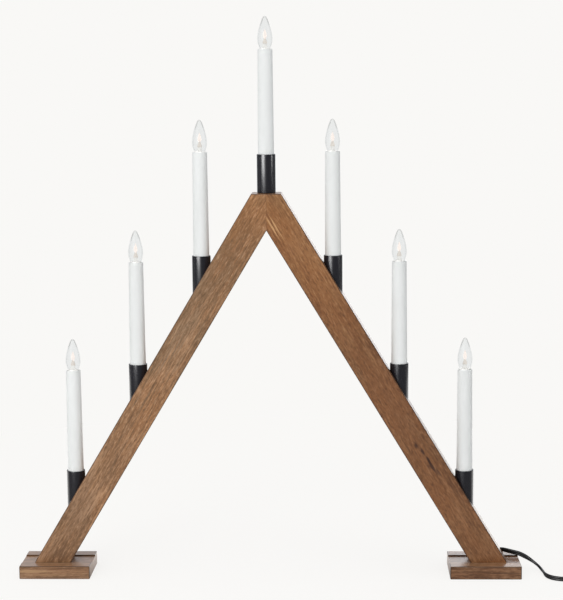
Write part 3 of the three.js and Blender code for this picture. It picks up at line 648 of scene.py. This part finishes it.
def make_glass():
    """Clear glass, greyer where it is seen edge on, and more so towards the flame's tip."""
    glass = Finish("clear_glass", Roughness=0.0, IOR=1.0, Transmission_Weight=1.0, Coat_Weight=0.08,
                   Coat_Roughness=0.25)
    facing = glass.add("LayerWeight", {"Blend": 0.5}, "Facing")
    belly = glass.ramp(facing, (0.3, (0.925, 0.935, 0.940)), (0.6, (0.890, 0.902, 0.908)),
                       (0.8, (0.83, 0.845, 0.85)), (1.0, (0.55, 0.565, 0.57)))
    point = glass.ramp(facing, (0.2, (0.93, 0.940, 0.942)), (0.45, (0.87, 0.88, 0.88)),
                       (0.62, (0.55, 0.56, 0.56)), (0.85, (0.28, 0.285, 0.29)))
    glass.to("Base Color", glass.blend(glass.attribute("tip"), belly, point))
    return glass.material


def make_strap():
    """A strap with a fine slanting weave."""
    strap = Finish("woven_strap", Roughness=0.8, Sheen_Weight=0.3)
    wave = {"Vector": strap.place(), "Scale": 320, "Distortion": 0.4}
    weave = strap.add("TexWave", wave, "Fac", bands_direction="DIAGONAL")
    strap.to("Base Color", strap.ramp(weave, (0.2, (0.012, 0.012, 0.013)), (0.8, (0.035, 0.035, 0.037))))
    strap.bump(weave, 0.5, 0.15 * MM)
    return strap.material


def make_finishes():
    return {
        **make_woods(),
        "glass": make_glass(),
        "strap": make_strap(),
        "cup": speckled(
            "black_lacquer", 1900, 4, (0.010, 0.0098, 0.013), (0.017, 0.0166, 0.0215), (0.23, 0.27),
            (0.12, 0.03, 420), full=0.8, fine=0.6, Specular_IOR_Level=0.42),
        "sleeve": speckled(
            "white_candle", 60, 3, (0.775, 0.785, 0.765), (0.825, 0.835, 0.82), (0.42, 0.5),
            (0.08, 0.05, 900), stretch=(1, 1, 0.3), Specular_IOR_Level=0.2),
        "holder": speckled(
            "holder_plastic", 1400, 3, (0.62, 0.60, 0.55), (0.69, 0.67, 0.62), None, (0.2, 0.05),
            Roughness=0.5),
        "cap": speckled(
            "cap_metal", 500, 3, (0.62, 0.52, 0.31), (0.72, 0.62, 0.40), (0.22, 0.36), stretch=(1, 1, 6),
            Metallic=1.0),
        "collar": speckled(
            "bulb_collar", 700, 3, (0.86, 0.845, 0.82), (0.91, 0.895, 0.87), None, (0.1, 0.05),
            Roughness=0.35),
        "core": speckled("bulb_core", 900, 3, (0.74, 0.68, 0.62), (0.82, 0.76, 0.70), Roughness=0.4),
        "glow": speckled(
            "warm_light", 300, 2, (0.99, 0.885, 0.825), (0.99, 0.92, 0.875), channel="Emission Color",
            Base_Color=(0.15, 0.12, 0.1), Roughness=0.4, Emission_Strength=0.88),
        "steel": speckled(
            "screw_steel", 700, 3, (0.42, 0.42, 0.41), (0.55, 0.55, 0.54), (0.28, 0.42), stretch=(1, 1, 12),
            Metallic=1.0),
        "wire": speckled("wire_sheath", 800, 3, (0.60, 0.57, 0.48), (0.68, 0.65, 0.57), Roughness=0.5),
        "plastic": speckled(
            "black_plastic", 2100, 4, (0.012, 0.012, 0.012), (0.024, 0.024, 0.024), (0.42, 0.6),
            (0.3, 0.08), full=0.8, fine=0.6),
        "cord": speckled(
            "black_cord", 650, 3, (0.005, 0.005, 0.0055), (0.011, 0.011, 0.0115), (0.42, 0.55),
            (0.12, 0.08), full=0.8, Specular_IOR_Level=0.3),
        "nickel": speckled(
            "nickel", 900, 3, (0.62, 0.61, 0.58), (0.70, 0.69, 0.66), (0.16, 0.28), stretch=(0.2, 1, 1),
            Metallic=1.0),
    }


def coat(obj, finish):
    """Gives a piece one finish all over."""
    obj.data.materials.clear()
    obj.data.materials.append(finish)


def dress(obj, nodes, finish=None, body="frame"):
    """Puts a finished piece in the place of its nodes."""
    if finish is not None:
        coat(obj, finish)
    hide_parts(*nodes)
    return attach(obj, body)


# Cord, coil and plug

def curve_through(points, step):
    """Points about a step apart on a smooth curve through the given ones."""
    points = [Vector(p) for p in points]
    ends = [points[0] * 2 - points[1], *points, points[-1] * 2 - points[-2]]
    line = []
    for before, start, end, after in zip(ends, ends[1:], ends[2:], ends[3:]):
        knots = [0.0]
        for a, b in ((before, start), (start, end), (end, after)):
            knots.append(knots[-1] + sqrt((b - a).length))
        count = max(1, round((end - start).length / step))
        for k in range(count):
            t = knots[1] + (knots[2] - knots[1]) * k / count
            near = [before, start, end, after]
            for spans in (((0, 1), (1, 2), (2, 3)), ((0, 2), (1, 3)), ((1, 2),)):
                near = [a.lerp(b, (t - knots[i]) / (knots[j] - knots[i]))
                        for a, b, (i, j) in zip(near, near[1:], spans)]
            line.append(near[0])
    return line + [points[-1]]


def smoothstep(value, low, high):
    """From 0 at low to 1 at high, with soft ends."""
    t = min(max((value - low) / (high - low), 0), 1)
    return t * t * (3 - 2 * t)


def coil_point(turn):
    """The coil winds in along the floor, climbs where it reverses and winds out on top."""
    back = SPIRAL_TURNS + 0.5
    climb = smoothstep(turn, SPIRAL_TURNS, back)
    wound = min(turn, SPIRAL_TURNS) - max(turn - back, 0)
    drawn_in = smoothstep(turn, SPIRAL_TURNS - 0.5, SPIRAL_TURNS) - smoothstep(turn, back, back + 0.5)
    radius = COIL_OUTER - COIL_PITCH * wound - COIL_TURN_IN * drawn_in
    angle = 2 * pi * (turn - 0.25)
    height = COIL_LOW + (COIL_HIGH - COIL_LOW) * climb
    return Vector((COIL_X + radius * cos(angle), radius * sin(angle), height))


def cord_line():
    """The cord's whole middle line, and how many of its points the free run has."""
    run = curve_through(CORD_ROUTE, CORD_STEP)
    free = len(run)
    run += [coil_point(i / COIL_STEPS) for i in range(COIL_TURNS * COIL_STEPS + 1)]
    level = COIL_TAIL - CORD_WIDTH
    for i in range(1, TAIL_STEPS + 1):
        x = level * i / TAIL_STEPS
        sunk = smoothstep(x, TAIL_HIGH, level) * (COIL_HIGH - PLUG_Z)
        run.append(Vector((COIL_X + x, CORD_LINE, COIL_HIGH - sunk)))
    run.append(Vector((COIL_X + COIL_TAIL, CORD_LINE, PLUG_Z)))
    return run, free


def cord_section():
    """The twin cord's outline: two round wires side by side, with a valley between them."""
    radius = CORD_THICKNESS / 2
    reach = CORD_WIDTH / 2 - radius
    angles = [radians(d) for d in (-40, -18, 6, 30, 55, 80, 100, 125, 150, 174, 198, 220)]
    half = [(radius * cos(a), reach + radius * sin(a)) for a in angles]
    return half + [(-x, -y) for x, y in half]


def cord_lean(share):
    """How far the flat cord leans from standing on its edge, at a share of its free run."""
    for (start, before), (end, after) in zip(CORD_LEAN, CORD_LEAN[1:]):
        if share < end:
            return radians(before + (after - before) * smoothstep(share, start, end))
    return 0.0


def make_cord(finishes):
    line, free = cord_line()
    section = cord_section()
    rings = []
    for i, point in enumerate(line):
        along = (line[min(i + 1, len(line) - 1)] - line[max(i - 1, 0)]).normalized()
        sideways = Matrix.Rotation(cord_lean(i / free), 3, along) @ UP.cross(along).normalized()
        upward = along.cross(sideways)
        rings.append([point + sideways * x + upward * y for x, y in section])
    cord = swept("cord", rings)
    dress(cord, ["cord_run", "cord_coil"], finishes["cord"])
    return cord, line


def make_tie(finishes):
    """A soft strap round the coil's bundle, with its free end folded over on top."""
    low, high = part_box("cord_tie")
    thickness = 0.6 * MM
    half = 3.9 * MM
    lift = 0.12 * MM
    corner = 2.6 * MM
    inset = thickness / 2 + 0.1 * MM
    left, right = low.x + inset, high.x - inset
    bottom, top = low.z + inset, high.z - 0.7 * MM - inset
    rings = []
    for x, z, start in (
            (right - corner, top - corner, 0), (left + corner, top - corner, 90),
            (left + corner, bottom + corner, 180), (right - corner, bottom + corner, 270)):
        for k in range(9):
            a = radians(start + 90 * k / 8)
            outward = Vector((cos(a), 0, sin(a)))
            rings.append(strap_ring(Vector((x, 0, z)) + corner * outward, outward, half, thickness))
    band = swept("tie_band", rings, closed=True)
    tail = []
    for k in range(13):
        x = right - corner - (right - left - 2 * corner) * k / 12
        tail.append(strap_ring(Vector((x, 0, top + thickness + lift)), UP, half - 0.1 * MM, 0.8 * thickness))
    strap = joined("cord_strap", [band, swept("tie_end", tail)])
    return dress(strap, ["cord_tie"], finishes["strap"])


def strap_ring(point, outward, half, thickness):
    """The strap's outline at a point: flat, with rounded edges."""
    edge = thickness / 2
    ring = []
    for side in (1, -1):
        for k in range(5):
            a = radians(-90 + 45 * k) * side
            across = side * (half - edge + edge * cos(a))
            ring.append(point + Vector((0, across, 0)) + side * edge * sin(a) * outward)
    return ring


def rounded_ring(x, half_y, half_z, power, sides=56):
    """A ring across X, from round at power 2 towards square at higher powers."""
    ring = []
    for k in range(sides):
        a = 2 * pi * k / sides
        c, s = cos(a), sin(a)
        y = half_y * copysign(abs(c) ** (2 / power), c)
        z = half_z * copysign(abs(s) ** (2 / power), s)
        ring.append(Vector((x, CORD_LINE + y, PLUG_Z + z)))
    return ring


def make_plug(finishes, row):
    """A flat two-pin plug, with its nose, grip ribs and half-sleeved pins."""
    low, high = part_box("plug_body")
    rings = [rounded_ring(low.x + x * MM, y * MM, z * MM, power) for x, y, z, power in PLUG_SHAPE]
    body = swept("plug_shell", rings)
    for side in (-1, 1):
        rib = block("plug_rib", (-0.7 * MM, -7 * MM, -0.25 * MM), (0.7 * MM, 7 * MM, 0.12 * MM), 0.1 * MM, 2)
        first = (high.x - 11 * MM, CORD_LINE, PLUG_Z + side * 6.6 * MM)
        grown(rib, row, Count=3, First_Place=first, Step=(2.6 * MM, 0, 0), Finish=finishes["plastic"])
        body = joined("plug_shell", [body, rib])
    plug = dress(body, ["plug_body"], finishes["plastic"])
    pin = turned("pin_metal", eased([(0, 0), (1.95, 0), (2, 9.4), (2, 19, 1.2), (0, 19)], 6), 32)
    sheath = turned("pin_sheath", eased([(1.9, -0.2), (1.99, -0.2), (1.99, 9.8, 0.1), (1.9, 9.8)]), 32)
    spread = 18.6 * MM
    first = (high.x, CORD_LINE - spread / 2, PLUG_Z)
    for piece, finish in ((pin, "nickel"), (sheath, "plastic")):
        lying(piece, (0, 0, 0))
        grown(piece, row, Count=2, First_Place=first, Step=(0, spread, 0), Finish=finishes[finish])
    pins = dress(joined("plug_pins", [pin, sheath]), ["plug_front_pin", "plug_rear_pin"])
    return plug, pins


# Beams, feet and what is in them

def slant_x(inset, height):
    """Where a line at a set distance under a beam's upper face is at a height."""
    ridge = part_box("left_beam")[1].z + APEX_FLAT / 2 / tan(LEAN)
    return (ridge - height) * tan(LEAN) - inset / cos(LEAN)


def slanted(side, near, far, low, high, middle):
    """The outline of a bar that follows a beam up to the mitre, between two distances under the beam's upper
    face and two heights, and ends at a distance from the object's middle."""
    crotch = high - (middle - slant_x(far, high)) / tan(LEAN)
    corners = [(slant_x(near, low), low), (slant_x(near, high), high), (middle, high), (middle, crotch),
               (slant_x(far, low), low)]
    return [(side * x, z) for x, z in corners]


def channel_outline(name, side, gap=0):
    """The outline of the wiring channel's cover, or a gap larger all round."""
    low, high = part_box(f"{name}_channel_cover")
    half = CHANNEL_WIDTH / 2 + COVER_LIP + gap
    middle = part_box("right_beam")[0].x
    return slanted(side, CHANNEL_INSET - half, CHANNEL_INSET + half, low.z - gap, high.z + gap, middle)


def soften(obj, lean=0):
    """Keeps flat faces flat beside their eased edges, and marks those edges for the finish to darken."""
    along = Vector((sin(lean), 0, cos(lean)))
    flats = [Vector((1, 0, 0)), Vector((0, 1, 0)), UP, along, along.cross(Vector((0, 1, 0)))]
    edge = obj.data.attributes.new("edge", "FLOAT", "FACE")
    for face in obj.data.polygons:
        edge.data[face.index].value = max(abs(face.normal.dot(flat)) for flat in flats) < 0.98
    normals = obj.modifiers.new("flat_faces", "WEIGHTED_NORMAL")
    normals.weight = 100
    normals.keep_sharp = True
    settle(obj)


def make_beam(name, side, finishes):
    """A beam, mitred at the apex, with the cups' seats, the channel's rebate and the outlet's pocket."""
    low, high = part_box(f"{name}_beam")
    outline = slanted(side, 0, BEAM_WIDTH, low.z, high.z, MITRE_GAP / 2)
    beam = prism(f"{name}_beam_shaped", outline, low.y, high.y, BEAM_EASE, crisp=MITRE_CRISP)
    cutters = []
    for place in (*(f"{level}_{name}" for level in LEVELS), "top"):
        foot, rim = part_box(f"{place}_cup")
        x = (foot.x + rim.x) / 2
        seat = foot.z + SPIGOT_LENGTH - SEAT_GAP
        cutters.append(rod("seat", (rim.x - foot.x) / 2 + SEAT_GAP, seat, seat + 0.05, x))
        socket = seat - SPIGOT_LENGTH - SEAT_GAP
        cutters.append(rod("socket", SPIGOT_RADIUS + SEAT_GAP, socket, seat + 0.001, x))
    floor = high.y - COVER_THICKNESS - SEAT_GAP
    cutters.append(prism("rebate", channel_outline(name, side, SEAT_GAP), floor, high.y + 0.005))
    if side > 0:
        corner, far = [v.copy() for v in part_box("cord_outlet")]
        far.x = corner.x + OUTLET_WIDTH
        gap = Vector((SEAT_GAP, SEAT_GAP, SEAT_GAP))
        cutters.append(block("pocket", corner - gap, far + gap))
    cut(beam, cutters)
    soften(beam, -side * LEAN)
    dress(beam, [f"{name}_beam"], finishes[f"{name}_beam"])


def make_cover(name, side, finishes):
    low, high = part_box(f"{name}_channel_cover")
    cover = prism(f"{name}_cover_strip", channel_outline(name, side), low.y, high.y, COVER_EASE)
    dress(cover, [f"{name}_channel_cover"], finishes[f"{name}_cover"])


def make_foot(name, finishes):
    """A foot with its shallow groove for the beam and two countersunk holes from below."""
    low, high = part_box(f"{name}_foot")
    foot = block(f"{name}_foot_shaped", low, high, FOOT_EASE)
    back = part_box(f"{name}_beam")[1].y + SEAT_GAP
    floor = high.z - FOOT_GROOVE_DEPTH
    cutters = [block("groove", (low.x - 0.01, -back, floor), (high.x + 0.01, back, high.z + 0.01))]
    for screw in SCREWS[name]:
        sink = turned("sink", eased([(0, -5), (3.9, -5), (3.9, 0.8), (2.1, 3.2), (2.1, 30), (0, 30)]), 40)
        at = middle_of(screw)
        cutters.append(moved(sink, (at.x, at.y, 0)))
    cut(foot, cutters)
    soften(foot)
    # Painted shade: the groove's rear walls, shaded under the beam's end, are marked for the finish to darken
    # like the eased edges
    for face in foot.data.polygons:
        if face.center.z > floor + 0.1 * MM and abs(abs(face.center.y) - back) < 0.1 * MM:
            foot.data.attributes["edge"].data[face.index].value = 1.0
    dress(foot, [f"{name}_foot"], finishes[f"{name}_foot"])


def make_screws(finishes, row):
    """Countersunk screws with a cross recess, two up through each foot."""
    head = turned("foot_screws", eased([(0, 0), (3.5, 0, 0.2), (1.7, 2.4), (1.7, 26), (0, 30)]), 40)
    cut(head, [block("recess", (-x * MM, -y * MM, -0.001), (x * MM, y * MM, 1.3 * MM))
               for x, y in ((2, 0.4), (0.4, 2))])
    rows = []
    for name, screws in SCREWS.items():
        first, second = [middle_of(screw) for screw in screws]
        pair = in_scene(f"{name}_screws", head.data.copy())
        grown(pair, row, Count=2, First_Place=first, Step=second - first, Finish=finishes["steel"])
        rows.append(pair)
    drop(head)
    dress(joined("foot_screws", rows), [*SCREWS["left"], *SCREWS["right"]])


def make_outlet(finishes, row):
    """The cord's outlet: a rounded block let into the beam, with a ribbed, tapered strain relief."""
    low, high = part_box("cord_outlet")
    body = block("cord_outlet_shaped", low, (low.x + OUTLET_WIDTH, high.y, high.z), OUTLET_EASE, 4)
    at = Vector((low.x + OUTLET_WIDTH - 0.2 * MM, CORD_EXIT[1], CORD_EXIT[2]))
    length = (high.x - at.x) / MM
    nozzle = turned("nozzle", eased([(0, 0), (3.6, 0), (2.8, length, 0.3), (0, length)]), 48)
    lying(nozzle, at)
    rib = turned("nozzle_rib", eased([(2.6, -0.75), (3.9, -0.75, 0.25), (3.9, 0.75, 0.25), (2.6, 0.75)]), 40)
    lying(rib, (0, 0, 0))
    first = at + Vector((2.4 * MM, 0, 0))
    grown(rib, row, Count=6, First_Place=first, Step=(2.7 * MM, 0, 0), Finish=finishes["plastic"])
    taper(rib, first.x, 14 * MM, 0.16)
    outlet = joined("cord_outlet_shaped", [body, nozzle, rib])
    dress(outlet, ["cord_outlet"], finishes["plastic"])


def taper(ribs, start, length, loss):
    """Draws the ribs in towards the nozzle's tip, by a share of their width."""
    for vert in ribs.data.vertices:
        share = min(max((vert.co.x - start) / length, 0), 1)
        for axis in (1, 2):
            vert.co[axis] = CORD_EXIT[axis] + (vert.co[axis] - CORD_EXIT[axis]) * (1 - loss * share)


# Candles

def make_candles(finishes):
    """Cups, sleeves and lampholders, turned about the sleeve's top and set in their seven places."""
    tree = candle_tree()
    first, second, top = [candle_top(place) for place in ("lower_right", "middle_right", "top")]
    cup = turned("candle_cups", eased([
        (2.75, CUP_FOOT - 8), (3.95, CUP_FOOT - 8), (3.95, CUP_FOOT), (9.75, CUP_FOOT, 0.5),
        (9.75, CUP_RIM, 0.45), (8.75, CUP_RIM, 0.3), (8.75, CUP_FOOT + 2), (2.75, CUP_FOOT + 2)]), 96)
    sleeve = turned("candle_sleeves", eased([
        (7.2, SLEEVE_FOOT), (8.4, SLEEVE_FOOT), (8.4, CUP_RIM), (7.65, 0, 0.6), (6.45, 0, 0.35),
        (6.45, -21.3), (4, -21.3), (4, -22.5), (6.45, -22.5), (7.2, CUP_RIM)]), 96)
    holder = turned("lampholders", eased([
        (0, -16), (5, -16), (5, -21), (6.15, -21), (6.15, -3, 0.3), (5, -3, 0.3), (5, -14), (0, -14)]), 64)
    for piece, node, slot, finish in (
            (cup, "cup", "black_lacquer", "cup"), (sleeve, "sleeve", "white_plastic", "sleeve"),
            (holder, "lampholder", "holder_plastic", "holder")):
        grown(piece, tree, Count=len(LEVELS), Lowest_Place=first, Step=second - first, Top_Place=top,
              Finish=finishes[finish])
        dress(piece, [f"{place}_{node}" for place in PLACES])


def flame_walls():
    """The glass's profile: a full belly and a drawn-out flame, up its outside and down its inside."""
    shape = [(radius * MM, 0, height * MM) for radius, height in FLAME_SHAPE]
    outside = [(max(point.x, 0), point.z) for point in curve_through(shape, 0.4 * MM)]
    inside = [(radius - GLASS_WALL, height) for radius, height in outside if radius > 3 * GLASS_WALL]
    last = inside[-1][1]
    inside += [(1.05 * MM, last + 0.45 * MM), (0, last + 0.7 * MM)]
    return outside + inside[::-1]


def make_bulbs(finishes):
    """A bulb in each sleeve: its glass, and its threaded cap with collar, core and light as one piece."""
    thread = thread_tree()
    walls = flame_walls()
    peak = max(height for radius, height in walls)
    profiles = {
        "collar": [(0, COLLAR_FOOT), (5.8, COLLAR_FOOT, 0.3), (5.6, COLLAR_TOP, 0.4), (2.5, COLLAR_TOP + 0.2),
                   (2.2, 5.4, 0.4), (0, 5.6)],
        "core": [(0, 5.5), (2.6, 5.5, 0.4), (1.7, 8.6, 0.6), (0.6, 11.4, 0.3), (0, 11.6)],
        "glow": [(0, 10.4), (0.9, 10.4, 0.2), (2.2, 12.8, 1.3), (1.5, 17, 1.8), (0, 20.6)],
    }
    for place in PLACES:
        body = f"{place}_bulb"
        at = candle_top(place)
        glass = turned(f"{body}_flame", walls, 96, sharp=60)
        tip = glass.data.attributes.new("tip", "FLOAT", "POINT")
        for vert in glass.data.vertices:
            tip.data[vert.index].value = smoothstep(vert.co.z, 0.6 * peak, 0.95 * peak)
        dress(moved(glass, at), [f"{body}_glass"], finishes["glass"], body)
        cap = turned("cap", eased([
            (0, -13.7), (1.5, -13.7, 0.3), (1.5, -13), (4.2, -11.4, 0.3), (4.25, -3.4), (4.7, -3.2),
            (4.7, COLLAR_FOOT), (0, COLLAR_FOOT)]), 48)
        grown(cap, thread, Radius=4.3 * MM, Ridge=0.38 * MM, Turns=3.4, Length=6.4 * MM,
              Foot=(0, 0, -10.6 * MM), Finish=finishes["cap"])
        parts = [cap]
        for part, profile in profiles.items():
            parts.append(turned(part, eased(profile), 48 if part == "collar" else 32))
            coat(parts[-1], finishes[part])
        dress(moved(joined(f"{body}_core", parts), at), [f"{body}_base"], None, body)


# Studio

def make_table():
    """A plain pale table top that fades into the backdrop. Gloss sees a brighter sweep behind the object."""
    finish = Finish("table_top", Roughness=0.9, Specular_IOR_Level=0.0)
    mottle = finish.noise(finish.place(), 3, 2)
    finish.to("Base Color", finish.ramp(mottle, (0.0, (0.80, 0.79, 0.775)), (1.0, (0.82, 0.81, 0.795))))
    reach = finish.add("VectorMath", {0: finish.place()}, "Value", operation="LENGTH")
    near, far = 0.15, 0.8
    lift = finish.add("MapRange", {
        "Value": reach, "From Min": near, "From Max": far, "To Min": 1.075, "To Max": 1.0})
    behind = finish.add("SeparateXYZ", {"Vector": finish.place()}, "Y")
    gloss = finish.add("MapRange", {
        "Value": behind, "From Min": -0.05, "From Max": 0.15, "To Min": 0.35, "To Max": 2.2,
    }, interpolation_type="SMOOTHSTEP")
    ray = finish.node("LightPath").outputs
    through = finish.math("SUBTRACT", 1.0, ray["Is Transmission Ray"])
    mirrored = finish.math("MULTIPLY", ray["Is Glossy Ray"], through)
    lift = finish.add("Mix", {"Factor": mirrored, "A": lift, "B": gloss})
    plain = finish.add("Emission", {"Color": PALE, "Strength": lift})
    share = finish.math("MAXIMUM", finish.ramp(reach, (near, 0.8), (far, 1.0)), mirrored)
    seen = finish.math("SUBTRACT", 1.0, ray["Is Diffuse Ray"])
    mixed = finish.add("MixShader", {
        "Fac": finish.math("MULTIPLY", share, seen), 1: finish.shader.outputs[0], 2: plain})
    finish.feed(finish.tree.nodes["Material Output"].inputs["Surface"], mixed)
    bm = bmesh.new()
    bmesh.ops.create_circle(bm, cap_ends=True, segments=96, radius=1.4)
    table = piece_from("table_top", bm)
    coat(table, finish.material)
    return table


def make_lights(table):
    """Soft light round the object. Strong gloss stays off the satin pieces, and rear fill off the table."""
    key = softbox("key", (0.9, 1.3), power=15, azimuth=-24, distance=1.9, rise=0.75)
    key.visible_glossy = False
    strong = [
        softbox("key_gloss", (0.9, 1.3), power=17, azimuth=-24, distance=1.85, rise=0.75, shine=True),
        softbox("key_shine", (0.9, 0.95), power=46, azimuth=-38, distance=1.5, rise=0.78, shine=True),
        softbox("right_shine", (0.15, 1.0), power=9, azimuth=76, distance=1.3, rise=0.85, shine=True),
    ]
    softbox("rear_shine", (0.4, 0.9), power=1.6, azimuth=166, distance=1.55, rise=0.45, shine=True)
    softbox("overhead", (1.2, 1.2), power=9, azimuth=10, distance=0.4, rise=2.1)
    satin = ("candle_sleeves", "beam_shaped", "foot_shaped", "cover_strip")
    spare("satin_pieces", strong, [piece for piece in bpy.data.objects if piece.name.endswith(satin)])
    fill = softbox("rear_fill", (1.0, 1.2), power=6, azimuth=180, distance=1.9, rise=0.75)
    fill.visible_glossy = False
    spare("pale_table", [fill], [table])


def softbox(name, size, power, azimuth, distance, rise, shine=False):
    """A soft area light. Its azimuth counts from the camera's side, to the right. Shine lights only gloss."""
    data = bpy.data.lights.new(name, "AREA")
    data.shape = "RECTANGLE"
    data.size, data.size_y = size
    data.energy = power
    light = in_scene(name, data)
    light.visible_diffuse = not shine
    light.visible_transmission = False
    angle = radians(azimuth)
    at = Vector((distance * sin(angle), -distance * cos(angle), rise))
    aim = Vector((0, 0, 0.3)) - at
    light.matrix_world = Matrix.Translation(at) @ aim.to_track_quat("-Z", "Y").to_matrix().to_4x4()
    return light


def spare(name, lights, pieces):
    """Keeps lights off pieces."""
    group = bpy.data.collections.new(name)
    for piece in pieces:
        group.objects.link(piece)
    for member in group.collection_objects:
        member.light_linking.link_state = "EXCLUDE"
    for light in lights:
        light.light_linking.receiver_collection = group


def make_room():
    """The room: an even soft light, a bright sweep behind the object, and dim sides for the gloss to show."""
    world = bpy.data.worlds.new("studio")
    bpy.context.scene.world = world
    world.use_nodes = True
    room = Nodes(world.node_tree)

    def light(colour, strength):
        return room.add("Background", {"Color": colour, "Strength": strength})

    def mixed(share, a, b):
        return room.add("MixShader", {"Fac": share, 1: a, 2: b})

    ray = room.node("LightPath").outputs
    seen = room.add("Math", {0: ray["Is Camera Ray"], 1: ray["Is Transmission Ray"]}, operation="MAXIMUM")
    direction = room.add("TexCoord", out="Generated")
    rearward = room.add("VectorMath", {0: direction, 1: (0, 1, 0)}, "Value", operation="DOT_PRODUCT")
    limits = {"Value": rearward, "From Min": 0.72, "From Max": 0.9}
    sweep = room.add("MapRange", limits, interpolation_type="SMOOTHSTEP")
    gloss = mixed(sweep, light(SOFT, 0.22), light(COOL, 1.0))
    lit = mixed(ray["Is Glossy Ray"], light(SOFT, 0.6), gloss)
    room.feed(room.tree.nodes["World Output"].inputs["Surface"], mixed(seen, lit, light(PALE, 1.0)))


# Everything in its place

def make_all():
    make_camera()
    finishes = make_finishes()
    row = row_tree()
    cord, line = make_cord(finishes)
    tie = make_tie(finishes)
    plug, pins = make_plug(finishes, row)
    for name, side in SIDES:
        make_beam(name, side, finishes)
        make_cover(name, side, finishes)
        make_foot(name, finishes)
    make_screws(finishes, row)
    make_outlet(finishes, row)
    make_candles(finishes)
    make_bulbs(finishes)
    for node, finish in (("left_wiring", "wire"), ("right_wiring", "wire"), ("apex_spline", "spline")):
        coat(frame["nodes"][node], finishes[finish])
    table = make_table()
    make_room()
    make_lights(table)
    bpy.context.scene.view_settings.view_transform = "Standard"


make_all()
